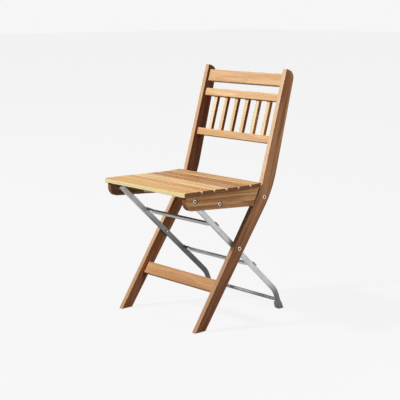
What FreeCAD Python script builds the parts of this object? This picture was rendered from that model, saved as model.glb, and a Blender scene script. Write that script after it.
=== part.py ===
import FreeCAD, Part
import math
import os

import Sketcher

# A folding slatted garden chair in oiled hardwood on galvanised steel legs.
# All sizes are millimetres and degrees. X runs across the chair, its front faces -Y,
# Z is up, and the origin is on the floor in the middle of the chair's outline.

Vector = FreeCAD.Vector
Rotation = FreeCAD.Rotation
Placement = FreeCAD.Placement

SIZES = {
    # Stiles: one wooden upright each side, from the floor to the top of the back
    "total_height": 830.0,
    "stile_outer_x": 200.0,
    "stile_thickness": 18.0,
    "stile_foot_front_y": -195.2,
    "stile_foot_rear_y": -150.9,
    "knee_z": 445.0,
    "lower_lean": 33.6,
    "upper_lean": 16.3,
    "rear_knee_y": 152.8,
    "rear_knee_z": 428.5,
    "stile_top_width": 41.0,
    "front_knee_radius": 200.0,
    "rear_knee_radius": 350.0,
    "stile_top_radius": 28.0,
    "wood_edge_radius": 2.0,
    # How far a hole runs past the face that it opens in
    "overshoot": 1.0,
    # Back rails, measured along the stile's upper front line from the knee
    "back_rail_inset": 8.0,
    "back_rail_thickness": 26.0,
    "top_rail_middle": 364.6,
    "top_rail_width": 41.5,
    "middle_rail_middle": 304.3,
    "middle_rail_width": 26.0,
    "lower_rail_middle": 160.1,
    "lower_rail_width": 24.7,
    "tenon_length": 11.5,
    "mortise_depth": 12.0,
    "back_tenon_thickness": 10.0,
    "tenon_shoulder": 4.0,
    # Spindles between the lower and middle back rails
    "spindle_width": 16.0,
    "spindle_depth": 13.0,
    "spindle_setback": 10.5,
    "spindle_pitch": 52.0,
    "spindle_socket": 8.0,
    "spindle_edge_radius": 1.2,
    # Stretcher between the stiles, measured along their lower front line from the floor
    "stretcher_inset": 13.6,
    "stretcher_thickness": 18.0,
    "stretcher_middle": 171.0,
    "stretcher_width": 42.7,
    # Seat slats: tops follow a shallow dish, given by the height at each slat's edge line
    "slat_half_length": 205.4,
    "slat_thickness": 15.0,
    "slat_gap": 5.5,
    "slat_pitch": 53.5,
    "seat_front_y": -244.4,
    "first_gap_y": -172.3,
    "seat_rear_y": 91.0,
    "seat_height_0": 464.1,
    "seat_height_1": 463.6,
    "seat_height_2": 462.2,
    "seat_height_3": 460.9,
    "seat_height_4": 459.7,
    "seat_height_5": 459.4,
    "seat_height_6": 461.3,
    # Seat side rails, in the same vertical plane as the stiles
    "rail_front_y": -236.0,
    "rail_front_bottom_z": 404.2,
    "rail_rear_bottom_y": 60.0,
    "rail_rear_bottom_z": 385.6,
    "rail_rear_slant": 26.7,
    "rail_front_radius": 30.0,
    "rail_facet_margin": 3.0,
    # Slat screws, driven up through the side rails
    "screw_radius": 2.0,
    "screw_head_radius": 4.0,
    "screw_head_thickness": 3.0,
    "screw_hole_radius": 4.4,
    "screw_cover": 20.0,
    "screw_bite": 11.0,
    "screw_tip_gap": 0.5,
    "front_screw_y": -222.0,
    "third_screw_y": -107.0,
    # The four pivots of the folding linkage
    "link_pivot_y": 114.3,
    "link_pivot_z": 409.0,
    "leg_pivot_y": 0.4,
    "leg_pivot_z": 250.0,
    "seat_front_pivot_y": -194.6,
    "seat_front_pivot_z": 431.6,
    "seat_link_pivot_y": -87.4,
    "seat_link_pivot_z": 409.7,
    "pin_radius": 3.0,
    "running_clearance": 0.05,
    # Bolt heads and nuts
    "flush_head_radius": 7.0,
    "flush_head_depth": 3.4,
    "flush_head_setback": 0.2,
    "flush_head_clearance": 0.3,
    "sunk_head_radius": 6.6,
    "sunk_counterbore_radius": 8.6,
    "sunk_head_face_x": 197.8,
    "sunk_head_seat_x": 194.0,
    "socket_radius": 3.1,
    "socket_depth": 2.4,
    "nut_radius": 6.5,
    "nut_thickness": 4.0,
    "flange_thickness": 2.4,
    "nut_edge": 0.8,
    "nut_play": 0.1,
    "open_pivot_gap": 0.5,
    "washer_radius": 8.0,
    "washer_thickness": 0.9,
    "bush_radius": 4.0,
    # Link straps between the stiles and the seat rails
    "link_width": 20.0,
    "link_thickness": 3.0,
    # Steel legs: flat-oval tube with one bend near the foot
    "leg_outer_x": 181.0,
    "leg_width": 20.0,
    "leg_depth": 10.0,
    "tube_wall": 1.2,
    "leg_lean": 47.1,
    "leg_top_overhang": 9.0,
    "leg_foot_y": 221.0,
    "leg_foot_lean": 21.0,
    "leg_bend_radius": 80.0,
    "leg_end_z": 9.5,
    # Crossbars between the legs
    "crossbar_radius": 7.0,
    "crossbar_flat_width": 20.0,
    "crossbar_flat_thickness": 2.8,
    "crossbar_flat_inner_x": 166.0,
    "crossbar_round_end_x": 140.0,
    "upper_crossbar_along": -122.0,
    "middle_crossbar_along": 114.0,
    "rivet_radius": 2.4,
    "rivet_head_radius": 3.6,
    "rivet_head_height": 1.7,
    "rivet_shift": -5.0,
    "foot_crossbar_radius": 6.0,
    "foot_crossbar_y": 207.4,
    "foot_crossbar_z": 33.5,
    # Plastic feet on the steel legs
    "foot_toe_y": 210.0,
    "foot_front_y": 203.0,
    "foot_front_z": 6.0,
    "foot_rear_y": 235.0,
    "foot_height": 26.0,
    "foot_outer_x": 181.8,
    "foot_inner_x": 164.0,
    "foot_radius": 3.0,
    "foot_rear_margin": 2.0,
    "foot_front_margin": 3.0,
}

doc = FreeCAD.newDocument("folding_chair")
sheet = doc.addObject("Spreadsheet::Sheet", "sizes")


def size(alias):
    """The value of one named size."""
    return SIZES[alias]


def tangent(alias):
    """The tangent of a named angle in degrees."""
    return math.tan(math.radians(size(alias)))


def write_sheet():
    """Writes every size in the sheet, as a plain number under its name."""
    for row, (alias, value) in enumerate(SIZES.items(), start=1):
        sheet.set("A%d" % row, alias)
        sheet.set("B%d" % row, "%.6f" % value)
        sheet.setAlias("B%d" % row, alias)
    doc.recompute()


# Sizes worked out from the driving ones

def derive_frame_sizes():
    """The stile's corners and the spindles' length."""
    lean = math.radians(size("upper_lean"))
    rise = size("total_height") - size("knee_z")
    top_width = size("stile_top_width")
    middle_rail_low = size("middle_rail_middle") - size("middle_rail_width") / 2
    lower_rail_top = size("lower_rail_middle") + size("lower_rail_width") / 2
    knee_y = size("stile_foot_front_y") + size("knee_z") * tangent("lower_lean")
    top_y = knee_y + rise * tangent("upper_lean")
    SIZES.update({
        "floor_z": 0.0,
        "stile_inner_x": size("stile_outer_x") - size("stile_thickness"),
        "rail_length": 2 * (size("stile_outer_x") - size("stile_thickness")),
        "stile_left_start_x": -size("stile_outer_x"),
        "stile_right_start_x": size("stile_outer_x") - size("stile_thickness"),
        "knee_y": knee_y,
        "stile_top_front_y": top_y,
        "stile_top_rear_y": top_y + top_width * math.cos(lean),
        "stile_top_rear_z": size("total_height") - top_width * math.sin(lean),
        "spindle_length": middle_rail_low - lower_rail_top + 2 * size("spindle_socket"),
    })


def derive_leg_sizes():
    """The steel leg's path, the strap, the crossbars' drop and the foot's top corners."""
    lean = math.radians(size("leg_lean"))
    overhang = size("leg_top_overhang")
    vertex_y, vertex_z = leg_vertex()
    strap_y = size("link_pivot_y") - size("seat_link_pivot_y")
    strap_z = size("link_pivot_z") - size("seat_link_pivot_z")
    foot_top_y = size("leg_foot_y") - size("foot_height") * tangent("leg_foot_lean")
    SIZES.update({
        "leg_inner_x": size("leg_outer_x") - size("leg_depth"),
        "leg_middle_x": size("leg_outer_x") - size("leg_depth") / 2,
        "leg_top_y": size("seat_front_pivot_y") - overhang * math.sin(lean),
        "leg_top_z": size("seat_front_pivot_z") + overhang * math.cos(lean),
        "leg_vertex_y": vertex_y,
        "leg_vertex_z": vertex_z,
        "leg_end_y": size("leg_foot_y") - size("leg_end_z") * tangent("leg_foot_lean"),
        "link_inner_x": size("leg_outer_x") - size("link_thickness"),
        "link_length": math.hypot(strap_y, strap_z),
        "link_slope": math.degrees(math.atan2(strap_z, strap_y)) - 90,
        "crossbar_drop": size("crossbar_radius") - size("crossbar_flat_thickness") / 2,
        "foot_top_rear_y": foot_top_y + size("leg_width") / 2 + size("foot_rear_margin"),
        "foot_top_front_y": foot_top_y - size("leg_width") / 2 - size("foot_front_margin"),
    })


def derive_fastener_sizes():
    """Where the bolts, nuts and slat screws start and end across the chair."""
    SIZES.update({
        "bore_radius": size("pin_radius") + size("running_clearance"),
        "screw_x": size("stile_outer_x") - size("stile_thickness") / 2,
        "flush_head_seat_x": size("stile_outer_x") - size("flush_head_depth"),
        "flush_head_face_x": size("stile_outer_x") - size("flush_head_setback"),
        "seat_stub_end_x": size("stile_inner_x") + size("open_pivot_gap"),
        "link_nut_start_x": size("link_inner_x") - size("nut_thickness"),
        "leg_nut_start_x": size("leg_inner_x") - size("flange_thickness"),
    })


def line_point(y, z, lean, along, across=0.0):
    """The point at a distance along a leaning line and a depth behind it."""
    angle = math.radians(lean)
    return (y + along * math.sin(angle) + across * math.cos(angle),
            z + along * math.cos(angle) - across * math.sin(angle))


# Feature helpers

def part_body(label):
    """An empty body that becomes the sub-part of that name."""
    body = doc.addObject("PartDesign::Body", label)
    body.Label = label
    return body


def origin_plane(body, role):
    """One of the body's own origin planes."""
    return next(plane for plane in body.Origin.OriginFeatures if plane.Role == role)


def bind(feature, **expressions):
    """Binds properties of a feature to the sheet. A double underscore stands for a dot."""
    for name, expression in expressions.items():
        feature.setExpression(name.replace("__", "."), expression)


def attach(body, feature, role, offset=Vector(), turn=Rotation()):
    """Attaches a sketch or a primitive to a plane of its body."""
    feature.AttachmentSupport = [(origin_plane(body, role), "")]
    feature.MapMode = "FlatFace"
    feature.AttachmentOffset = Placement(offset, turn)


def new_sketch(body, name, role, **kwargs):
    """A sketch on a plane of its body."""
    sketch = body.newObject("Sketcher::SketchObject", name)
    attach(body, sketch, role, **kwargs)
    return sketch


def drive(sketch, kind, first, second, expression, start):
    """Adds a distance between two sketch points and binds it to the sheet."""
    index = sketch.addConstraint(Sketcher.Constraint(kind, *first, *second, start))
    sketch.setExpression("Constraints[%d]" % index, expression)


def drive_point(sketch, point, across, up, start):
    """Fixes a sketch point at two bound distances from the sketch's origin."""
    drive(sketch, "DistanceX", (-1, 1), point, across, start[0])
    drive(sketch, "DistanceY", (-1, 1), point, up, start[1])


def drive_radius(sketch, arc, expression, start):
    """Binds the radius of an arc or circle to the sheet."""
    index = sketch.addConstraint(Sketcher.Constraint("Radius", arc, start))
    sketch.setExpression("Constraints[%d]" % index, expression)


def polygon(sketch, corners):
    """A closed outline whose corners are pairs of names in the sheet."""
    points = [(size(across), size(up)) for across, up in corners]
    count = len(points)
    for index, point in enumerate(points):
        following = points[(index + 1) % count]
        sketch.addGeometry(Part.LineSegment(Vector(*point, 0), Vector(*following, 0)), False)
    for index in range(count):
        following = (index + 1) % count
        sketch.addConstraint(Sketcher.Constraint("Coincident", index, 2, following, 1))
    for index, (across, up) in enumerate(corners):
        drive_point(sketch, (index, 1), "sizes." + across, "sizes." + up, points[index])


def slot(sketch, spacing, radius, first_centre, spacing_start, radius_start):
    """A slot along the sketch's second axis, from its first centre."""
    x, y = first_centre
    top = y + spacing_start
    low = Part.Circle(Vector(x, y, 0), Vector(0, 0, 1), radius_start)
    high = Part.Circle(Vector(x, top, 0), Vector(0, 0, 1), radius_start)
    sketch.addGeometry(Part.ArcOfCircle(low, math.pi, 2 * math.pi), False)
    sketch.addGeometry(Part.LineSegment(Vector(x + radius_start, y, 0),
                                        Vector(x + radius_start, top, 0)), False)
    sketch.addGeometry(Part.ArcOfCircle(high, 0, math.pi), False)
    sketch.addGeometry(Part.LineSegment(Vector(x - radius_start, top, 0),
                                        Vector(x - radius_start, y, 0)), False)
    for first, second in (((0, 2), (1, 1)), ((1, 2), (2, 1)), ((2, 2), (3, 1)), ((3, 2), (0, 1))):
        sketch.addConstraint(Sketcher.Constraint("Tangent", *first, *second))
    sketch.addConstraint(Sketcher.Constraint("Vertical", 1))
    sketch.addConstraint(Sketcher.Constraint("PointOnObject", 0, 3, -2))
    drive_radius(sketch, 0, radius, radius_start)
    drive(sketch, "DistanceY", (0, 3), (2, 3), spacing, spacing_start)
    return sketch


def pad(body, sketch, name, length):
    """A pad of a sketch, of a bound length."""
    feature = body.newObject("PartDesign::Pad", name)
    feature.Profile = sketch
    bind(feature, Length=length)
    return feature


def box(body, name, corner, extent, cut=False):
    """A block in its body, from its lowest corner, in bound sizes."""
    kind = "PartDesign::SubtractiveBox" if cut else "PartDesign::AdditiveBox"
    feature = body.newObject(kind, name)
    attach(body, feature, "XY_Plane")
    bind(feature, Length=extent[0], Width=extent[1], Height=extent[2],
         AttachmentOffset__Base__x=corner[0], AttachmentOffset__Base__y=corner[1],
         AttachmentOffset__Base__z=corner[2])
    return feature


def cross_span(side, near, far):
    """Where a span between two distances from the middle starts along X, and its length."""
    start = near if side > 0 else "-(%s)" % far
    return start, "(%s) - (%s)" % (far, near)


def drill(body, name, side, y, z, near, far, radius):
    """A round hole across the chair between two distances from the middle."""
    start, length = cross_span(side, near, far)
    hole = body.newObject("PartDesign::SubtractiveCylinder", name)
    attach(body, hole, "YZ_Plane")
    bind(hole, Radius=radius, Height=length, AttachmentOffset__Base__x=y,
         AttachmentOffset__Base__y=z, AttachmentOffset__Base__z=start)
    return hole


def edges_where(shape, wanted):
    """Names of the edges of a shape that a test accepts."""
    return ["Edge%d" % (index + 1) for index, edge in enumerate(shape.Edges) if wanted(edge)]


def crosses_at(y, z, tolerance=0.5):
    """A test for the edge that runs along X through a point of the side view."""
    def test(edge):
        ends = [vertex.Point for vertex in edge.Vertexes]
        if len(ends) < 2 or abs(ends[0].x - ends[1].x) < tolerance:
            return False
        return all(math.hypot(end.y - y, end.z - z) < tolerance for end in ends)
    return test


def lies_at_x(edge, tolerance=0.01):
    """Whether all of an edge lies in one plane across X."""
    bounds = edge.BoundBox
    return bounds.XMax - bounds.XMin < tolerance


def is_long(edge):
    """Whether an edge is one of the long corners of a rail or spindle."""
    return edge.Length > 2 * size("top_rail_width")


def fillet(body, name, wanted, radius):
    """Rounds the edges that a test accepts, by a bound radius."""
    doc.recompute()
    base = body.Tip
    feature = body.newObject("PartDesign::Fillet", name)
    feature.Base = (base, edges_where(base.Shape, wanted))
    bind(feature, Radius=radius)
    return feature


def set_on_line(body, point, angle):
    """Stands a body on a leaning line of the side view, through a point."""
    y, z = point
    body.Placement = Placement(Vector(0, y, z), Rotation(Vector(1, 0, 0), -size(angle)))


SIDES = {"left": -1, "right": 1}


# The wooden frame

BACK_RAILS = {
    "back_top_rail": ("top_rail_middle", "top_rail_width"),
    "back_middle_rail": ("middle_rail_middle", "middle_rail_width"),
    "back_lower_rail": ("lower_rail_middle", "lower_rail_width"),
}
SPINDLES = range(1, 7)


def back_point(along, across=0.0):
    """A point of the side view, along and behind the stile's upper front line."""
    return line_point(size("knee_y"), size("knee_z"), size("upper_lean"), along, across)


def lower_point(along, across=0.0):
    """A point of the side view, along and behind the stile's lower front line."""
    return line_point(size("stile_foot_front_y"), 0, size("lower_lean"), along, across)


def mortise(body, side, name, point, lean, thickness, width):
    """A blind slot in a stile's inner face, for the tenon of a rail."""
    start, length = cross_span(side, "sizes.stile_inner_x",
                               "sizes.stile_inner_x + sizes.mortise_depth")
    feature = body.newObject("PartDesign::SubtractiveBox", name)
    turn = Rotation(Vector(1, 0, 0), -size(lean))
    attach(body, feature, "XY_Plane", offset=Vector(0, *point), turn=turn)
    bind(feature, Length=length, Width=thickness, Height=width,
         AttachmentOffset__Base__x=start)


def make_stile(name, side):
    """A stile: a bent upright with mortises, pivot holes and counterbores."""
    body = part_body("stile_" + name)
    sketch = new_sketch(body, "stile_outline_" + name, "YZ_Plane")
    bind(sketch, AttachmentOffset__Base__z="sizes.stile_%s_start_x" % name)
    polygon(sketch, [
        ("stile_foot_front_y", "floor_z"),
        ("stile_foot_rear_y", "floor_z"),
        ("rear_knee_y", "rear_knee_z"),
        ("stile_top_rear_y", "stile_top_rear_z"),
        ("stile_top_front_y", "total_height"),
        ("knee_y", "knee_z"),
    ])
    pad(body, sketch, "stile_blank_" + name, "sizes.stile_thickness")
    fillet(body, "front_knee_" + name, crosses_at(size("knee_y"), size("knee_z")),
           "sizes.front_knee_radius")
    fillet(body, "rear_knee_" + name, crosses_at(size("rear_knee_y"), size("rear_knee_z")),
           "sizes.rear_knee_radius")
    fillet(body, "stile_top_" + name,
           crosses_at(size("stile_top_rear_y"), size("stile_top_rear_z")),
           "sizes.stile_top_radius")
    fillet(body, "stile_edges_" + name, lies_at_x, "sizes.wood_edge_radius")
    for rail, (middle, width) in BACK_RAILS.items():
        along = size(middle) - size(width) / 2 + size("tenon_shoulder")
        across = size("back_rail_inset") + (size("back_rail_thickness")
                                            - size("back_tenon_thickness")) / 2
        mortise(body, side, "mortise_%s_%s" % (rail, name), back_point(along, across),
                "upper_lean", "sizes.back_tenon_thickness",
                "sizes.%s - 2 * sizes.tenon_shoulder" % width)
    along = size("stretcher_middle") - size("stretcher_width") / 2 + size("tenon_shoulder")
    across = size("stretcher_inset") + (size("stretcher_thickness")
                                        - size("back_tenon_thickness")) / 2
    mortise(body, side, "mortise_stretcher_" + name, lower_point(along, across),
            "lower_lean", "sizes.back_tenon_thickness",
            "sizes.stretcher_width - 2 * sizes.tenon_shoulder")
    for pivot in ("link_pivot", "leg_pivot"):
        y, z = "sizes.%s_y" % pivot, "sizes.%s_z" % pivot
        drill(body, "%s_hole_%s" % (pivot, name), side, y, z,
              "sizes.stile_inner_x - sizes.overshoot",
              "sizes.stile_outer_x + sizes.overshoot", "sizes.bore_radius")
        drill(body, "%s_recess_%s" % (pivot, name), side, y, z,
              "sizes.flush_head_seat_x", "sizes.stile_outer_x + sizes.overshoot",
              "sizes.flush_head_radius + sizes.flush_head_clearance")


def make_rail(label, thickness, width, point, lean, spindle_side=0):
    """A rail between the stiles with a tenon at each end and, on one edge, spindle sockets."""
    body = part_body(label)
    box(body, "blank_" + label,
        ("-sizes.rail_length / 2", "0", "-sizes.%s / 2" % width),
        ("sizes.rail_length", "sizes." + thickness, "sizes." + width))
    fillet(body, "edges_" + label, is_long, "sizes.wood_edge_radius")
    box(body, "tenons_" + label,
        ("-sizes.rail_length / 2 - sizes.tenon_length",
         "(sizes.%s - sizes.back_tenon_thickness) / 2" % thickness,
         "-sizes.%s / 2 + sizes.tenon_shoulder" % width),
        ("sizes.rail_length + 2 * sizes.tenon_length", "sizes.back_tenon_thickness",
         "sizes.%s - 2 * sizes.tenon_shoulder" % width))
    if spindle_side:
        edge = "sizes.%s / 2 - sizes.spindle_socket" % width
        start = edge if spindle_side > 0 else "-(%s) - sizes.spindle_socket" % edge
        half_pitches = (len(SPINDLES) - 1) / 2
        socket = box(body, "socket_" + label,
                     ("-%.1f * sizes.spindle_pitch - sizes.spindle_width / 2" % half_pitches,
                      "sizes.spindle_setback", start),
                     ("sizes.spindle_width", "sizes.spindle_depth", "sizes.spindle_socket"),
                     cut=True)
        doc.recompute()
        row = body.newObject("PartDesign::LinearPattern", "sockets_" + label)
        row.Originals = [socket]
        row.Direction = (body.Origin.OriginFeatures[0], [""])
        row.Occurrences = len(SPINDLES)
        bind(row, Length="%d * sizes.spindle_pitch" % (len(SPINDLES) - 1))
        body.Tip = row
    set_on_line(body, point, lean)


def make_spindle(number):
    """A spindle, let into the rails above and below it, behind their middle."""
    label = "back_spindle_%d" % number
    low = size("lower_rail_middle") + size("lower_rail_width") / 2 - size("spindle_socket")
    across = size("back_rail_inset") + size("spindle_setback")
    body = part_body(label)
    place = number - (len(SPINDLES) + 1) / 2
    box(body, "blank_" + label,
        ("%.1f * sizes.spindle_pitch - sizes.spindle_width / 2" % place, "0", "0"),
        ("sizes.spindle_width", "sizes.spindle_depth", "sizes.spindle_length"))
    fillet(body, "edges_" + label, is_long, "sizes.spindle_edge_radius")
    set_on_line(body, back_point(low, across), "upper_lean")


def make_frame():
    """Both stiles, the back with its spindles, and the stretcher."""
    for name, side in SIDES.items():
        make_stile(name, side)
    socket_edges = {"back_lower_rail": 1, "back_middle_rail": -1}
    for label, (middle, width) in BACK_RAILS.items():
        make_rail(label, "back_rail_thickness", width,
                  back_point(size(middle), size("back_rail_inset")), "upper_lean",
                  socket_edges.get(label, 0))
    for number in SPINDLES:
        make_spindle(number)
    make_rail("front_stretcher", "stretcher_thickness", "stretcher_width",
              lower_point(size("stretcher_middle"), size("stretcher_inset")), "lower_lean")


# The seat

SLATS = range(1, 7)


def seat_line():
    """The polyline of the seat's top, with a vertex in the middle of each gap."""
    first = size("first_gap_y")
    gaps = [first + index * size("slat_pitch") for index in range(len(SLATS) - 1)]
    depths = [size("seat_front_y")] + gaps + [size("seat_rear_y")]
    return [(y, size("seat_height_%d" % index)) for index, y in enumerate(depths)]


def facet(number):
    """Start, end and slope in degrees of the seat line under one slat."""
    line = seat_line()
    start, end = line[number - 1], line[number]
    slope = math.degrees(math.atan2(end[1] - start[1], end[0] - start[0]))
    return start, end, slope


def underside_z(y):
    """Height of the slats' underside at a depth, which is the side rail's top edge."""
    number = next((n for n in SLATS if y <= facet(n)[1][0]), SLATS[-1])
    start, end, slope = facet(number)
    top = start[1] + (y - start[0]) * math.tan(math.radians(slope))
    return top - size("slat_thickness") / math.cos(math.radians(slope))


def underside_corner(number):
    """Where the undersides of a slat and of the one behind it would meet."""
    vertex = seat_line()[number]
    first, second = math.radians(facet(number)[2]), math.radians(facet(number + 1)[2])
    middle = (first + second) / 2
    reach = size("slat_thickness") / math.cos((second - first) / 2)
    return vertex[0] + reach * math.sin(middle), vertex[1] - reach * math.cos(middle)


def slat_trims(number):
    """How far a slat stops short of its facet's front and rear lines."""
    half_gap = size("slat_gap") / 2
    return half_gap * (number > SLATS[0]), half_gap * (number < SLATS[-1])


def derive_seat_sizes():
    """The slats' widths and the corners of the side rails."""
    for number in SLATS:
        start, end, _ = facet(number)
        SIZES["slat_width_%d" % number] = (math.hypot(end[0] - start[0], end[1] - start[1])
                                           - sum(slat_trims(number)))
    for number in SLATS[:-1]:
        corner_y, corner_z = underside_corner(number)
        SIZES["rail_facet_y_%d" % number] = corner_y
        SIZES["rail_facet_z_%d" % number] = corner_z
    y, z = underside_corner(SLATS[-2])
    slant = tangent("rail_rear_slant")
    slope = math.tan(math.radians(facet(SLATS[-1])[2]))
    foot_y, foot_z = size("rail_rear_bottom_y"), size("rail_rear_bottom_z")
    reach = foot_y - foot_z * slant - y
    top_z = (z + reach * slope) / (1 - slant * slope)
    SIZES["rail_rear_top_z"] = top_z
    SIZES["rail_rear_top_y"] = foot_y + (top_z - foot_z) * slant
    SIZES["rail_front_top_z"] = underside_z(size("rail_front_y"))


def make_slat(number):
    """A seat slat with rounded corners and a screw hole over each side rail."""
    label = "seat_slat_%d" % number
    start, _, slope = facet(number)
    front_trim, _ = slat_trims(number)
    body = part_body(label)
    box(body, "blank_" + label,
        ("-sizes.slat_half_length", "0", "-sizes.slat_thickness"),
        ("2 * sizes.slat_half_length", "sizes.slat_width_%d" % number, "sizes.slat_thickness"))
    fillet(body, "edges_" + label, lambda edge: True, "sizes.wood_edge_radius")
    turn = math.radians(slope)
    front = (start[0] + front_trim * math.cos(turn), start[1] + front_trim * math.sin(turn))
    body.Placement = Placement(Vector(0, *front), Rotation(Vector(1, 0, 0), slope))
    inverse = body.Placement.inverse()
    for name, side in SIDES.items():
        tip = inverse.multVec(Vector(side * size("screw_x"), screw_y(number),
                                     underside_z(screw_y(number)) - size("overshoot")))
        pilot = body.newObject("PartDesign::SubtractiveCylinder",
                               "pilot_%s_%s" % (label, name))
        attach(body, pilot, "XY_Plane", offset=tip, turn=Rotation(Vector(1, 0, 0), -slope))
        bind(pilot, Radius="sizes.screw_radius", Height="sizes.screw_bite + sizes.overshoot")


def screw_y(number):
    """Where the screws of a slat stand, clear of the pivot bolts."""
    start, end, _ = facet(number)
    places = {1: size("front_screw_y"), 3: size("third_screw_y")}
    return places.get(number, (start[0] + end[0]) / 2)


def screw_head_z(number):
    """Height of the top of a slat screw's head in its hole."""
    return underside_z(screw_y(number)) - size("screw_cover")


def make_seat_rail(name, side):
    """A seat side rail: a facet under each slat, a round front, and holes for its fasteners."""
    body = part_body("seat_rail_" + name)
    sketch = new_sketch(body, "seat_rail_outline_" + name, "YZ_Plane")
    bind(sketch, AttachmentOffset__Base__z="sizes.stile_%s_start_x" % name)
    corners = [("rail_front_y", "rail_front_bottom_z"),
               ("rail_rear_bottom_y", "rail_rear_bottom_z"),
               ("rail_rear_top_y", "rail_rear_top_z")]
    corners += [("rail_facet_y_%d" % n, "rail_facet_z_%d" % n) for n in reversed(SLATS[:-1])]
    corners.append(("rail_front_y", "rail_front_top_z"))
    polygon(sketch, corners)
    pad(body, sketch, "seat_rail_blank_" + name, "sizes.stile_thickness")
    fillet(body, "seat_rail_nose_" + name,
           crosses_at(size("rail_front_y"), size("rail_front_bottom_z")),
           "sizes.rail_front_radius")
    facets_above = (size("seat_height_5") - size("slat_thickness")
                    - size("rail_facet_margin"))
    fillet(body, "seat_rail_edges_" + name,
           lambda edge: lies_at_x(edge) and edge.BoundBox.ZMin < facets_above,
           "sizes.wood_edge_radius")
    for pivot in ("seat_front_pivot", "seat_link_pivot"):
        y, z = "sizes.%s_y" % pivot, "sizes.%s_z" % pivot
        drill(body, "%s_hole_%s" % (pivot, name), side, y, z,
              "sizes.stile_inner_x - sizes.overshoot",
              "sizes.stile_outer_x + sizes.overshoot", "sizes.bore_radius")
        drill(body, "%s_recess_%s" % (pivot, name), side, y, z,
              "sizes.sunk_head_seat_x", "sizes.stile_outer_x + sizes.overshoot",
              "sizes.sunk_counterbore_radius")
    for number in SLATS:
        y, top = screw_y(number), screw_head_z(number)
        reach = top - size("rail_rear_bottom_z") + size("overshoot")
        for kind, radius, base, height in (
                ("recess", "sizes.screw_hole_radius", top - reach, reach),
                ("hole", "sizes.screw_radius", top - size("overshoot"),
                 size("screw_cover") + 3 * size("overshoot"))):
            hole = body.newObject("PartDesign::SubtractiveCylinder",
                                  "screw_%s_%d_%s" % (kind, number, name))
            attach(body, hole, "XY_Plane", offset=Vector(side * size("screw_x"), y, base))
            hole.Height = height
            bind(hole, Radius=radius)


def make_seat():
    """The six slats and the two side rails that carry them."""
    for number in SLATS:
        make_slat(number)
    for name, side in SIDES.items():
        make_seat_rail(name, side)


# The steel legs and the straps

def along_leg(distance, across=0.0):
    """A point of the side view, down the leg from its pivot and out from its upper edge."""
    angle = math.radians(size("leg_lean"))
    return (size("leg_pivot_y") + distance * math.sin(angle) + across * math.cos(angle),
            size("leg_pivot_z") - distance * math.cos(angle) + across * math.sin(angle))


def leg_vertex():
    """Where the leg's straight upper and lower lines would meet."""
    upper, lower = tangent("leg_lean"), tangent("leg_foot_lean")
    pivot_y, pivot_z = size("leg_pivot_y"), size("leg_pivot_z")
    z = (size("leg_foot_y") - pivot_y - upper * pivot_z) / (lower - upper)
    return size("leg_foot_y") - lower * z, z


def leg_path(body, name):
    """The bent centreline of a leg, in its middle plane."""
    sketch = new_sketch(body, "leg_path_" + name, "YZ_Plane")
    sign = "" if SIDES[name] > 0 else "-"
    bind(sketch, AttachmentOffset__Base__z=sign + "sizes.leg_middle_x")
    top, vertex = Vector(size("leg_top_y"), size("leg_top_z"), 0), Vector(*leg_vertex(), 0)
    foot = Vector(size("leg_end_y"), size("leg_end_z"), 0)
    radius = size("leg_bend_radius")
    turn = math.radians(size("leg_lean") - size("leg_foot_lean"))
    reach = radius * math.tan(turn / 2)
    down, out = (vertex - top).normalize(), (foot - vertex).normalize()
    start, end = vertex - down * reach, vertex + out * reach
    inwards = Vector(-math.cos(math.radians(size("leg_lean"))),
                     -math.sin(math.radians(size("leg_lean"))), 0)
    centre = start + inwards * radius
    bend = Part.Circle(centre, Vector(0, 0, 1), radius)
    lower, upper = [math.atan2(point.y - centre.y, point.x - centre.x)
                    for point in (end, start)]
    sketch.addGeometry(Part.LineSegment(top, start), False)
    sketch.addGeometry(Part.ArcOfCircle(bend, lower, upper), False)
    sketch.addGeometry(Part.LineSegment(end, foot), False)
    sketch.addGeometry(Part.Point(vertex), True)
    sketch.addConstraint(Sketcher.Constraint("Tangent", 0, 2, 1, 2))
    sketch.addConstraint(Sketcher.Constraint("Tangent", 1, 1, 2, 1))
    sketch.addConstraint(Sketcher.Constraint("PointOnObject", 3, 1, 0))
    sketch.addConstraint(Sketcher.Constraint("PointOnObject", 3, 1, 2))
    drive_point(sketch, (0, 1), "sizes.leg_top_y", "sizes.leg_top_z", (top.x, top.y))
    drive_point(sketch, (2, 2), "sizes.leg_end_y", "sizes.leg_end_z", (foot.x, foot.y))
    drive_point(sketch, (3, 1), "sizes.leg_vertex_y", "sizes.leg_vertex_z",
                (vertex.x, vertex.y))
    drive_radius(sketch, 1, "sizes.leg_bend_radius", radius)
    return sketch


def oval_sketch(body, name, side, point, lean, inset):
    """A flat-oval section across the tube, inset from its outside by a named wall."""
    wall = size(inset) if inset else 0.0
    shrink = " - 2 * sizes.%s" % inset if inset else ""
    turn = Rotation(Vector(1, 0, 0), 180 + lean)
    y, z = point
    sketch = new_sketch(body, name, "XY_Plane",
                        offset=Vector(side * size("leg_middle_x"), y, z), turn=turn)
    radius = size("leg_depth") / 2 - wall
    spacing = size("leg_width") - size("leg_depth")
    slot(sketch, "sizes.leg_width - sizes.leg_depth", "(sizes.leg_depth%s) / 2" % shrink,
         (0, -spacing / 2), spacing, radius)
    drive(sketch, "DistanceY", (0, 3), (-1, 1), "(sizes.leg_width - sizes.leg_depth) / 2",
          spacing / 2)
    return sketch


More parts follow.
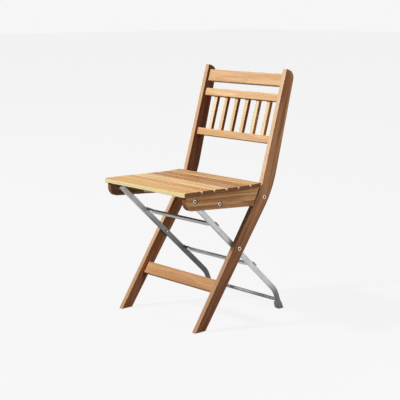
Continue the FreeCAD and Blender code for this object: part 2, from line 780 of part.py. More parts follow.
def make_leg(name, side):
    """A bent leg of flat-oval tube, with its pivot holes and rivet holes."""
    body = part_body("steel_leg_" + name)
    path = leg_path(body, name)
    top = (size("leg_top_y"), size("leg_top_z"))
    for kind, feature, inset in (("outside", "PartDesign::AdditivePipe", None),
                                 ("bore", "PartDesign::SubtractivePipe", "tube_wall")):
        section = oval_sketch(body, "leg_%s_section_%s" % (kind, name), side, top,
                              size("leg_lean"), inset)
        pipe = body.newObject(feature, "leg_%s_%s" % (kind, name))
        pipe.Profile = section
        pipe.Spine = path
        doc.recompute()
    near = "sizes.leg_inner_x - sizes.overshoot"
    far = "sizes.leg_outer_x + sizes.overshoot"
    drill(body, "leg_pivot_bore_" + name, side, "sizes.leg_pivot_y", "sizes.leg_pivot_z",
          near, far, "sizes.bush_radius")
    drill(body, "leg_top_bore_" + name, side, "sizes.seat_front_pivot_y",
          "sizes.seat_front_pivot_z", near, far, "sizes.pin_radius")
    for bar in ("upper_crossbar", "middle_crossbar"):
        y, z = along_leg(size(bar + "_along") + size("rivet_shift"))
        hole = body.newObject("PartDesign::SubtractiveCylinder",
                              "rivet_hole_%s_%s" % (bar, name))
        attach(body, hole, "XY_Plane", offset=Vector(side * size("leg_middle_x"), y, z),
               turn=Rotation(Vector(1, 0, 0), size("leg_lean") - 90))
        bind(hole, Radius="sizes.rivet_radius", Height="sizes.leg_width")


def make_link(name, side):
    """A flat strap with round ends and a hole at each pivot."""
    body = part_body("link_strap_" + name)
    start, length = cross_span(side, "sizes.link_inner_x", "sizes.leg_outer_x")
    turn = Rotation(Vector(0, 0, 1), size("link_slope"))
    sketch = new_sketch(body, "strap_outline_" + name, "YZ_Plane", turn=turn,
                        offset=Vector(size("seat_link_pivot_y"), size("seat_link_pivot_z"), 0))
    bind(sketch, AttachmentOffset__Base__z=start)
    slot(sketch, "sizes.link_length", "sizes.link_width / 2", (0, 0), size("link_length"),
         size("link_width") / 2)
    sketch.addConstraint(Sketcher.Constraint("PointOnObject", 0, 3, -1))
    pad(body, sketch, "strap_blank_" + name, length)
    for pivot in ("link_pivot", "seat_link_pivot"):
        drill(body, "strap_%s_hole_%s" % (pivot, name), side, "sizes.%s_y" % pivot,
              "sizes.%s_z" % pivot, "sizes.link_inner_x - sizes.overshoot",
              "sizes.leg_outer_x + sizes.overshoot", "sizes.bore_radius")


def circle_of_arcs(sketch, radius, start):
    """A circle drawn as four quarter arcs that end on the diagonals."""
    circle = Part.Circle(Vector(), Vector(0, 0, 1), start)
    quarter = math.pi / 2
    for index in range(4):
        first = quarter * (index + 0.5)
        sketch.addGeometry(Part.ArcOfCircle(circle, first, first + quarter), False)
    for index in range(3):
        sketch.addConstraint(Sketcher.Constraint("Coincident", index, 3, -1, 1))
    for index in range(4):
        following = (index + 1) % 4
        sketch.addConstraint(Sketcher.Constraint("Coincident", index, 2, following, 1))
    sketch.addConstraint(Sketcher.Constraint("Equal", 0, 3))
    drive_radius(sketch, 0, radius, start)
    for index in range(4):
        across = math.cos(quarter * (index + 0.5))
        reach = "%d * (%s) * cos(45)" % (math.copysign(1, across), radius)
        drive(sketch, "DistanceX", (-1, 1), (index, 1), reach, start * across)


def flat_of_arcs(sketch, width, thickness, start_width, start_thickness):
    """A flat section with round edges, drawn in the same order as the circle."""
    radius = start_thickness / 2
    reach = start_width / 2 - radius
    right = Part.Circle(Vector(reach, 0, 0), Vector(0, 0, 1), radius)
    left = Part.Circle(Vector(-reach, 0, 0), Vector(0, 0, 1), radius)
    half = math.pi / 2
    sketch.addGeometry(Part.LineSegment(Vector(reach, radius, 0), Vector(-reach, radius, 0)),
                       False)
    sketch.addGeometry(Part.ArcOfCircle(left, half, 3 * half), False)
    sketch.addGeometry(Part.LineSegment(Vector(-reach, -radius, 0),
                                        Vector(reach, -radius, 0)), False)
    sketch.addGeometry(Part.ArcOfCircle(right, -half, half), False)
    for first, second in (((0, 2), (1, 1)), ((1, 2), (2, 1)), ((2, 2), (3, 1)), ((3, 2), (0, 1))):
        sketch.addConstraint(Sketcher.Constraint("Tangent", *first, *second))
    sketch.addConstraint(Sketcher.Constraint("PointOnObject", 1, 3, -1))
    sketch.addConstraint(Sketcher.Constraint("PointOnObject", 3, 3, -1))
    drive_radius(sketch, 1, "(%s) / 2" % thickness, radius)
    drive(sketch, "DistanceX", (-1, 1), (3, 3), "(%s - %s) / 2" % (width, thickness), reach)
    drive(sketch, "DistanceX", (1, 3), (-1, 1), "(%s - %s) / 2" % (width, thickness), reach)


def crossbar_loft(body, label, kind, inset):
    """The outside or the bore of a round tube whose ends are pressed flat at its top."""
    round_shrink = " - sizes.tube_wall" if inset else ""
    flat_shrink = " - 2 * sizes.tube_wall" if inset else ""
    wall = size("tube_wall") if inset else 0.0
    flat_start = size("crossbar_flat_thickness") - 2 * wall
    sections = []
    stations = (("-sizes.leg_outer_x", "flat"), ("-sizes.crossbar_flat_inner_x", "flat"),
                ("-sizes.crossbar_round_end_x", "round"), ("sizes.crossbar_round_end_x", "round"),
                ("sizes.crossbar_flat_inner_x", "flat"), ("sizes.leg_outer_x", "flat"))
    for index, (station, form) in enumerate(stations):
        sketch = new_sketch(body, "%s_%s_%d" % (label, kind, index), "YZ_Plane")
        bind(sketch, AttachmentOffset__Base__z=station)
        if form == "round":
            bind(sketch, AttachmentOffset__Base__y="-sizes.crossbar_drop")
            circle_of_arcs(sketch, "sizes.crossbar_radius" + round_shrink,
                           size("crossbar_radius") - wall)
        else:
            flat_of_arcs(sketch, "(sizes.crossbar_flat_width%s)" % flat_shrink,
                         "(sizes.crossbar_flat_thickness%s)" % flat_shrink,
                         size("crossbar_flat_width") - 2 * wall, flat_start)
        sections.append(sketch)
    loft = body.newObject("PartDesign::SubtractiveLoft" if inset else "PartDesign::AdditiveLoft",
                          "%s_%s" % (label, kind))
    loft.Profile = sections[0]
    loft.Sections = sections[1:]
    loft.Ruled = True
    doc.recompute()


def make_crossbar(label):
    """A tube across the legs, its flat ends lying on the legs' upper edges."""
    body = part_body(label)
    crossbar_loft(body, label, "outside", False)
    crossbar_loft(body, label, "bore", True)
    for name, side in SIDES.items():
        hole = body.newObject("PartDesign::SubtractiveCylinder",
                              "rivet_hole_%s_%s" % (label, name))
        attach(body, hole, "XY_Plane", offset=Vector(side * size("leg_middle_x"), 0, 0))
        bind(hole, Radius="sizes.rivet_radius", Height="sizes.crossbar_flat_width",
             AttachmentOffset__Base__y="sizes.rivet_shift",
             AttachmentOffset__Base__z="-sizes.crossbar_flat_width / 2")
    rise = size("leg_width") / 2 + size("crossbar_flat_thickness") / 2
    y, z = along_leg(size(label + "_along"), rise)
    body.Placement = Placement(Vector(0, y, z),
                               Rotation(Vector(1, 0, 0), size("leg_lean") - 90))


def make_foot_crossbar():
    """The plain round tube welded between the legs just above the feet."""
    body = part_body("foot_crossbar")
    sketch = new_sketch(body, "foot_crossbar_section", "YZ_Plane")
    bind(sketch, AttachmentOffset__Base__z="-sizes.leg_inner_x")
    point = (size("foot_crossbar_y"), size("foot_crossbar_z"))
    for index, wall in enumerate((0.0, size("tube_wall"))):
        radius = size("foot_crossbar_radius") - wall
        shrink = " - sizes.tube_wall" if wall else ""
        sketch.addGeometry(Part.Circle(Vector(*point, 0), Vector(0, 0, 1), radius), False)
        drive_point(sketch, (index, 3), "sizes.foot_crossbar_y", "sizes.foot_crossbar_z", point)
        drive_radius(sketch, index, "sizes.foot_crossbar_radius" + shrink, radius)
    pad(body, sketch, "foot_crossbar_tube", "2 * sizes.leg_inner_x")


def make_foot(name, side):
    """A moulded plastic foot with a socket for the end of the leg."""
    body = part_body("leg_foot_" + name)
    start, length = cross_span(side, "sizes.foot_inner_x", "sizes.foot_outer_x")
    sketch = new_sketch(body, "foot_outline_" + name, "YZ_Plane")
    bind(sketch, AttachmentOffset__Base__z=start)
    polygon(sketch, [("foot_front_y", "foot_front_z"), ("foot_toe_y", "floor_z"),
                     ("foot_rear_y", "floor_z"), ("foot_top_rear_y", "foot_height"),
                     ("foot_top_front_y", "foot_height")])
    pad(body, sketch, "foot_blank_" + name, length)
    fillet(body, "foot_edges_" + name,
           lambda edge: not lies_at_x(edge), "sizes.foot_radius")
    socket = oval_sketch(body, "foot_socket_section_" + name, side,
                         (size("leg_end_y"), size("leg_end_z")), size("leg_foot_lean"), None)
    pocket = body.newObject("PartDesign::Pocket", "foot_socket_" + name)
    pocket.Profile = socket
    bind(pocket, Length="2 * sizes.foot_height")


def make_legs():
    """Both legs with their crossbars, straps and feet."""
    for name, side in SIDES.items():
        make_leg(name, side)
        make_link(name, side)
        make_foot(name, side)
    for label in ("upper_crossbar", "middle_crossbar"):
        make_crossbar(label)
    make_foot_crossbar()


# Fasteners: each is built once on the right side and mirrored to the left

def across_x(name, y, z, start, length, radius, end_radius=None):
    """A cylinder or cone along X, in bound sizes."""
    kind = "Part::Cylinder" if end_radius is None else "Part::Cone"
    solid = doc.addObject(kind, name)
    solid.Placement = Placement(Vector(), Rotation(Vector(0, 1, 0), 90))
    bind(solid, Height=length, Placement__Base__x=start, Placement__Base__y=y,
         Placement__Base__z=z)
    if end_radius is None:
        bind(solid, Radius=radius)
    else:
        bind(solid, Radius1=radius, Radius2=end_radius)
    return solid


def joined(name, solids):
    """One solid made of several that touch or overlap."""
    result = doc.addObject("Part::MultiFuse", name)
    result.Shapes = solids
    return result


def less(name, base, tool):
    """A solid with another cut away."""
    result = doc.addObject("Part::Cut", name)
    result.Base = base
    result.Tool = tool
    return result


def mirrored(solid):
    """The same solid on the other side of the chair."""
    copy = doc.addObject("Part::Mirroring", solid.Name + "_left")
    copy.Source = solid
    copy.Base = Vector()
    copy.Normal = Vector(1, 0, 0)
    return copy


def grouped(label, solids):
    """A sub-part made of separate like solids."""
    group = doc.addObject("Part::Compound", label)
    group.Label = label
    group.Links = solids
    return group


def socket_bolt(name, pivot, start, head_start, head_end, head_radius):
    """A bolt with a flat head, a hexagon socket and a bevelled rim."""
    y, z = "sizes.%s_y" % pivot, "sizes.%s_z" % pivot
    shank = across_x(name + "_shank", y, z, start, "(%s) - (%s)" % (head_end, start),
                     "sizes.pin_radius")
    rim = "sizes.nut_edge"
    head = across_x(name + "_head", y, z, head_start,
                    "(%s) - (%s) - %s" % (head_end, head_start, rim), head_radius)
    bevel = across_x(name + "_bevel", y, z, "(%s) - %s" % (head_end, rim), rim,
                     head_radius, "(%s) - %s" % (head_radius, rim))
    socket = doc.addObject("Part::Prism", name + "_socket")
    socket.Polygon = 6
    socket.Placement = Placement(Vector(), Rotation(Vector(0, 1, 0), 90))
    bind(socket, Circumradius="sizes.socket_radius",
         Height="sizes.socket_depth + sizes.overshoot",
         Placement__Base__x="(%s) - sizes.socket_depth" % head_end,
         Placement__Base__y=y, Placement__Base__z=z)
    return less(name, joined(name + "_solid", [shank, head, bevel]), socket)


def ring(name, pivot, start, length, radius, hole_radius, bevelled=False):
    """A nut, washer or bush round a pivot pin."""
    y, z = "sizes.%s_y" % pivot, "sizes.%s_z" % pivot
    outer = across_x(name + "_outer", y, z, start, length, radius)
    if bevelled:
        rim = "sizes.nut_edge"
        outer = across_x(name + "_outer_face", y, z, "(%s) + %s" % (start, rim),
                         "(%s) - %s" % (length, rim), radius)
        cap = across_x(name + "_outer_rim", y, z, start, rim,
                       "(%s) - %s" % (radius, rim), radius)
        outer = joined(name + "_body", [outer, cap])
    hole = across_x(name + "_hole", y, z, "(%s) - sizes.overshoot" % start,
                    "(%s) + 2 * sizes.overshoot" % length, hole_radius)
    return less(name, outer, hole)


def pair(label, solid):
    """A sub-part made of a solid and its mirror image."""
    return grouped(label, [solid, mirrored(solid)])


def make_fasteners():
    """The pivot bolts, nuts, washers, bushes, rivets and slat screws."""
    seat_x, face_x = "sizes.flush_head_seat_x", "sizes.flush_head_face_x"
    pair("link_pivot_bolts",
         socket_bolt("link_bolt", "link_pivot", "sizes.link_nut_start_x", seat_x, face_x,
                     "sizes.flush_head_radius"))
    pair("link_pivot_nuts",
         ring("link_nut", "link_pivot", "sizes.link_nut_start_x",
              "sizes.nut_thickness - sizes.nut_play", "sizes.nut_radius",
              "sizes.pin_radius", True))
    pair("leg_pivot_bolts",
         socket_bolt("leg_bolt", "leg_pivot", "sizes.leg_nut_start_x", seat_x, face_x,
                     "sizes.flush_head_radius"))
    pair("leg_pivot_nuts",
         ring("leg_nut", "leg_pivot", "sizes.leg_nut_start_x",
              "sizes.flange_thickness - sizes.nut_play", "sizes.nut_radius",
              "sizes.pin_radius", True))
    pair("leg_pivot_bushes",
         ring("leg_bush", "leg_pivot", "sizes.leg_inner_x", "sizes.leg_depth",
              "sizes.bush_radius", "sizes.bore_radius"))
    pair("seat_link_bolts",
         socket_bolt("seat_link_bolt", "seat_link_pivot", "sizes.link_nut_start_x",
                     "sizes.sunk_head_seat_x", "sizes.sunk_head_face_x",
                     "sizes.sunk_head_radius"))
    pair("seat_link_nuts",
         ring("seat_link_nut", "seat_link_pivot", "sizes.link_nut_start_x",
              "sizes.nut_thickness - sizes.nut_play", "sizes.nut_radius",
              "sizes.pin_radius", True))
    pair("seat_front_bolts",
         socket_bolt("seat_front_bolt", "seat_front_pivot", "sizes.seat_stub_end_x",
                     "sizes.sunk_head_seat_x", "sizes.sunk_head_face_x",
                     "sizes.sunk_head_radius"))
    pair("leg_top_studs", leg_top_stud())
    link_washers = [ring("washer_" + pivot, pivot, "sizes.leg_outer_x",
                         "sizes.washer_thickness", "sizes.washer_radius",
                         "sizes.bore_radius")
                    for pivot in ("link_pivot", "seat_link_pivot")]
    grouped("link_washers", link_washers + [mirrored(washer) for washer in link_washers])
    pair("leg_pivot_washers",
         ring("washer_leg", "leg_pivot", "sizes.leg_outer_x", "sizes.washer_thickness",
              "sizes.washer_radius", "sizes.bore_radius"))
    make_rivets()
    make_slat_screws()


def leg_top_stud():
    """The half of the front pivot pin that the leg holds, with a head inside the leg."""
    y, z = "sizes.seat_front_pivot_y", "sizes.seat_front_pivot_z"
    shank = across_x("stud_shank", y, z, "sizes.leg_nut_start_x",
                     "sizes.leg_outer_x - sizes.leg_nut_start_x", "sizes.pin_radius")
    rim = "sizes.nut_edge"
    head = across_x("stud_head", y, z, "sizes.leg_nut_start_x + " + rim,
                    "sizes.flange_thickness - " + rim, "sizes.nut_radius")
    bevel = across_x("stud_bevel", y, z, "sizes.leg_nut_start_x", rim,
                     "sizes.nut_radius - " + rim, "sizes.nut_radius")
    return joined("leg_top_stud", [shank, head, bevel])


def make_rivets():
    """Round-headed rivets through the crossbars' flat ends into the legs."""
    lean = Rotation(Vector(1, 0, 0), size("leg_lean") - 90)
    rivets = []
    for bar in ("upper_crossbar", "middle_crossbar"):
        along = size(bar + "_along") + size("rivet_shift")
        top = size("leg_width") / 2 + size("crossbar_flat_thickness")
        base = along_leg(along, 0.0)
        seat = along_leg(along, top)
        shank = doc.addObject("Part::Cylinder", "rivet_shank_" + bar)
        shank.Placement = Placement(Vector(size("leg_middle_x"), *base), lean)
        bind(shank, Radius="sizes.rivet_radius",
             Height="sizes.leg_width / 2 + sizes.crossbar_flat_thickness")
        head = doc.addObject("Part::Cone", "rivet_head_" + bar)
        head.Placement = Placement(Vector(size("leg_middle_x"), *seat), lean)
        bind(head, Radius1="sizes.rivet_head_radius", Radius2="sizes.rivet_head_radius / 2",
             Height="sizes.rivet_head_height")
        rivets.append(joined("rivet_" + bar, [shank, head]))
    grouped("crossbar_rivets", rivets + [mirrored(rivet) for rivet in rivets])


def make_slat_screws():
    """Two screws under each slat, driven up from deep holes in the side rails."""
    screws = []
    for number in SLATS:
        y, top = screw_y(number), screw_head_z(number)
        head = doc.addObject("Part::Cylinder", "screw_head_%d" % number)
        head.Placement = Placement(
            Vector(size("screw_x"), y, top - size("screw_head_thickness")), Rotation())
        bind(head, Radius="sizes.screw_head_radius", Height="sizes.screw_head_thickness")
        shank = doc.addObject("Part::Cylinder", "screw_shank_%d" % number)
        shank.Placement = Placement(Vector(size("screw_x"), y, top), Rotation())
        bind(shank, Radius="sizes.screw_radius",
             Height="sizes.screw_cover + sizes.screw_bite - sizes.screw_tip_gap")
        screws.append(joined("slat_screw_%d" % number, [head, shank]))
    grouped("slat_screws", screws + [mirrored(screw) for screw in screws])


def sub_parts():
    """The bodies and fastener groups that leave the document, by name."""
    return [thing for thing in doc.Objects
            if thing.TypeId in ("PartDesign::Body", "Part::Compound")]


def check_all():
    """Stops on any failed feature and any empty or broken shape."""
    for thing in doc.Objects:
        if "Invalid" in thing.State or "Error" in thing.State:
            raise RuntimeError("%s failed: %s" % (thing.Label, thing.State))
    for thing in sub_parts():
        if thing.Shape.isNull() or not thing.Shape.isValid():
            raise RuntimeError("%s has no valid shape" % thing.Label)


def main():
    """Builds every sub-part, checks it and writes one file for each."""
    derive_frame_sizes()
    derive_seat_sizes()
    derive_leg_sizes()
    derive_fastener_sizes()
    write_sheet()
    make_frame()
    make_seat()
    make_legs()
    make_fasteners()
    doc.recompute()
    check_all()
    os.makedirs("parts", exist_ok=True)
    for thing in sub_parts():
        thing.Shape.exportStep("parts/%s.step" % thing.Label)
        print("%-22s %d solid(s) %10.0f mm3" % (thing.Label, len(thing.Shape.Solids),
                                                thing.Shape.Volume))


main()
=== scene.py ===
"""Dresses the folding patio chair: oiled hardwood boards on galvanised steel legs.

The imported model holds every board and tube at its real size, and they get their finish
here. The parts that need a finer shape are modelled: bolts, nuts, washers, bushes, rivets,
screws, straps, weld beads and the moulded feet.
"""

import logging
import math
from dataclasses import dataclass, field
from enum import Enum, IntEnum
from typing import Callable, Iterable, Mapping, Protocol, Sequence

import bmesh
import bpy
from mathutils import Matrix, Vector


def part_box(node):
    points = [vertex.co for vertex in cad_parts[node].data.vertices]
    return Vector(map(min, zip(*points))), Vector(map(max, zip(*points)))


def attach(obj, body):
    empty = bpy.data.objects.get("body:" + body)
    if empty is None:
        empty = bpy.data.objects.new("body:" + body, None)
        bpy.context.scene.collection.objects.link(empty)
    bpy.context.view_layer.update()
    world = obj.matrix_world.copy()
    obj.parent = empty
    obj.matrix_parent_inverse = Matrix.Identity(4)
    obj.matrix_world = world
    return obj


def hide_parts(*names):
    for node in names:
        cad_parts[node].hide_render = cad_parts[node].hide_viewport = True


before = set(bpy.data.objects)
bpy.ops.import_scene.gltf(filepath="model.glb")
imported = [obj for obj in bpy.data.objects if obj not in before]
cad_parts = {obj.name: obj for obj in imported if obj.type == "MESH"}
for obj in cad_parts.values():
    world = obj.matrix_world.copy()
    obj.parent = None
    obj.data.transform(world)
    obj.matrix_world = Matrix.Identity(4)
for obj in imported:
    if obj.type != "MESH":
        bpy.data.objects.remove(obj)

log = logging.getLogger("patio_chair")

MM = 0.001
FULL_TURN = 2 * math.pi

# How the wood stands in the side view, as on the drawing of the chair
LOWER_LEAN = math.radians(33.6)
UPPER_LEAN = math.radians(16.3)
KNEE = Vector((0.0, 100.5 * MM, 445.0 * MM))
LEG_LEAN = math.radians(47.1)
ACROSS = Vector((1.0, 0.0, 0.0))
UPRIGHT = Vector((0.0, 0.0, 1.0))
# Roughly where the rounded top end of a stile looks
TOP_END = Vector((0.0, 0.35, 0.94))
BLACK = (0.0, 0.0, 0.0, 1.0)


class Body(Enum):
    """The groups of pieces that move together."""

    FRAME = "frame"
    LINKS = "links"
    SEAT = "seat"
    LEGS = "leg_frame"


class Slot(Enum):
    """The record's finishes that the pieces made here have."""

    LEG_STEEL = "leg_steel"
    BOLT_STEEL = "bolt_steel"
    RIVET_STEEL = "rivet_steel"
    FOOT_PLASTIC = "foot_plastic"
    WASHER_NYLON = "washer_nylon"


class Side(Enum):
    """The two sides of the chair, as the sign of X."""

    LEFT = -1
    RIGHT = 1


class MixSocket(IntEnum):
    """Sockets of the Mix node, which gives the same name to several."""

    FACTOR = 0
    FIRST_VECTOR = 4
    SECOND_VECTOR = 5
    FIRST_COLOUR = 6
    SECOND_COLOUR = 7


class MixResult(IntEnum):
    """Results of the Mix node."""

    VECTOR = 1
    COLOUR = 2


# Nodes and colours

def linear(hex_colour: str) -> tuple[float, float, float, float]:
    """Turns an sRGB hex colour into linear values.

    Args:
        hex_colour: Six hexadecimal digits.

    Returns:
        Linear red, green and blue, and an alpha of one.
    """
    parts = [int(hex_colour[i:i + 2], 16) / 255 for i in (0, 2, 4)]
    red, green, blue = [part / 12.92 if part <= 0.04045 else ((part + 0.055) / 1.055) ** 2.4
                        for part in parts]
    return red, green, blue, 1.0


def add_node(tree: bpy.types.NodeTree, kind: str,
             sockets: Mapping[str | int, object] | None = None,
             **settings: object) -> bpy.types.Node:
    """Adds a node with its settings and links.

    Args:
        tree: Node tree of a material or of the world.
        kind: Type name of the node.
        sockets: What goes into the node's inputs, a value or another node's output.
        settings: Properties of the node.

    Returns:
        The new node.
    """
    node = tree.nodes.new(kind)
    for name, value in settings.items():
        setattr(node, name, value)
    for name, value in (sockets or {}).items():
        socket = node.inputs[name]
        if isinstance(value, bpy.types.NodeSocket):
            tree.links.new(value, socket)
        else:
            socket.default_value = value
    return node


def empty_material(name: str) -> tuple[bpy.types.Material, bpy.types.NodeTree]:
    """A material with no nodes, and its node tree."""
    material = bpy.data.materials.new(name)
    material.use_nodes = True
    material.node_tree.nodes.clear()
    return material, material.node_tree


def millimetres(tree: bpy.types.NodeTree, origin: Vector = Vector()) -> bpy.types.NodeSocket:
    """Object coordinates in millimetres from a point.

    Args:
        tree: Node tree of a material.
        origin: The point, in metres.

    Returns:
        The socket with the coordinates.
    """
    where = add_node(tree, "ShaderNodeTexCoord")
    scaled = add_node(tree, "ShaderNodeMapping",
                      {"Vector": where.outputs["Object"], "Location": origin,
                       "Scale": (MM, MM, MM)}, vector_type="TEXTURE")
    return scaled.outputs["Vector"]


def tone_by_height(tree: bpy.types.NodeTree, position: bpy.types.NodeSocket,
                   tones: Sequence[tuple[float, str]]) -> bpy.types.NodeSocket:
    """A colour that changes with the height.

    Args:
        tree: Node tree of a material.
        position: Object coordinates in millimetres.
        tones: One or more heights and the colour there, from the top down.

    Returns:
        The socket with the colour.
    """
    height = add_node(tree, "ShaderNodeSeparateXYZ", {"Vector": position}).outputs["Z"]
    blended: object = linear(tones[0][1])
    for (top, _), (bottom, tone) in zip(tones, tones[1:]):
        share = add_node(tree, "ShaderNodeMapRange",
                         {"Value": height, "From Min": top, "From Max": bottom},
                         interpolation_type="SMOOTHSTEP").outputs["Result"]
        blended = add_node(tree, "ShaderNodeMix",
                           {MixSocket.FACTOR: share, MixSocket.FIRST_COLOUR: blended,
                            MixSocket.SECOND_COLOUR: linear(tone)},
                           data_type="RGBA").outputs[MixResult.COLOUR]
    return blended


class Finish(Protocol):
    """Anything that can give a material."""

    def material(self) -> bpy.types.Material:
        """The material, made once for each call."""
        ...


# Wood

@dataclass(frozen=True)
class StraightGrain:
    """Grain that runs straight along a board.

    Attributes:
        origin: A point of the board.
        along: Direction of the grain.
        face: Direction that the board's broad face looks in.
    """

    origin: Vector
    along: Vector
    face: Vector

    def local(self, tree: bpy.types.NodeTree,
              position: bpy.types.NodeSocket) -> bpy.types.NodeSocket:
        """Coordinates along the grain, across the board and through it.

        Args:
            tree: The material's node tree.
            position: Object coordinates.

        Returns:
            The socket with the coordinates, in millimetres.
        """
        length, depth = self.along.normalized(), self.face.normalized()
        turn = Matrix((length, depth.cross(length), depth)).transposed().to_euler()
        mapped = add_node(tree, "ShaderNodeMapping",
                          {"Vector": position, "Location": self.origin, "Rotation": turn,
                           "Scale": (MM, MM, MM)}, vector_type="TEXTURE")
        return mapped.outputs["Vector"]


@dataclass(frozen=True)
class KneedGrain:
    """Grain that follows a bent stile: one direction below the knee and one above.

    Attributes:
        origin: The middle of the knee.
        below: Direction of the grain below the knee.
        above: Its direction above the knee.
        face: Direction that the stile's broad face looks in.
    """

    origin: Vector
    below: Vector
    above: Vector
    face: Vector

    @property
    def along(self) -> Vector:
        """The direction halfway between the two."""
        return (self.below + self.above).normalized()

    def local(self, tree: bpy.types.NodeTree,
              position: bpy.types.NodeSocket) -> bpy.types.NodeSocket:
        """Coordinates along the bent grain, whose seam is on the plane that halves the bend.

        Args:
            tree: The material's node tree.
            position: Object coordinates.

        Returns:
            The socket with the coordinates, in millimetres.
        """
        lower, upper = [StraightGrain(self.origin, way, self.face).local(tree, position)
                        for way in (self.below, self.above)]
        offset = add_node(tree, "ShaderNodeVectorMath", {0: position, 1: self.origin},
                          operation="SUBTRACT")
        height = add_node(tree, "ShaderNodeVectorMath",
                          {0: offset.outputs["Vector"], 1: self.along},
                          operation="DOT_PRODUCT")
        is_above = add_node(tree, "ShaderNodeMath", {0: height.outputs["Value"], 1: 0.0},
                            operation="GREATER_THAN")
        chosen = add_node(tree, "ShaderNodeMix",
                          {MixSocket.FACTOR: is_above.outputs["Value"],
                           MixSocket.FIRST_VECTOR: lower, MixSocket.SECOND_VECTOR: upper},
                          data_type="VECTOR")
        return chosen.outputs[MixResult.VECTOR]


@dataclass(frozen=True)
class Board:
    """The colours of one sawn board.

    Attributes:
        pale: The lightest bands of its broad faces.
        deep: The darker bands.
        streak: The late wood of each ring.
        edge: Its narrow faces, which cut the rings upright; partly painted light and shade.
        end: Its end grain, which soaks up the oil.
    """

    pale: str
    deep: str
    streak: str
    edge: str
    end: str = "8C5F44"


@dataclass(frozen=True)
class PaintedShadeAndCrown:
    """How a stile's tone changes with height, as a tint of its colours.

    They follow the photograph's broad trend and are painted shade.

    Attributes:
        faces: Two heights in millimetres and the tint of its broad faces there.
        edges: The same for its narrow faces.
        crown: Tint of its top end.
    """

    faces: tuple[tuple[float, str], ...]
    edges: tuple[tuple[float, str], ...]
    crown: str = "A68B7C"


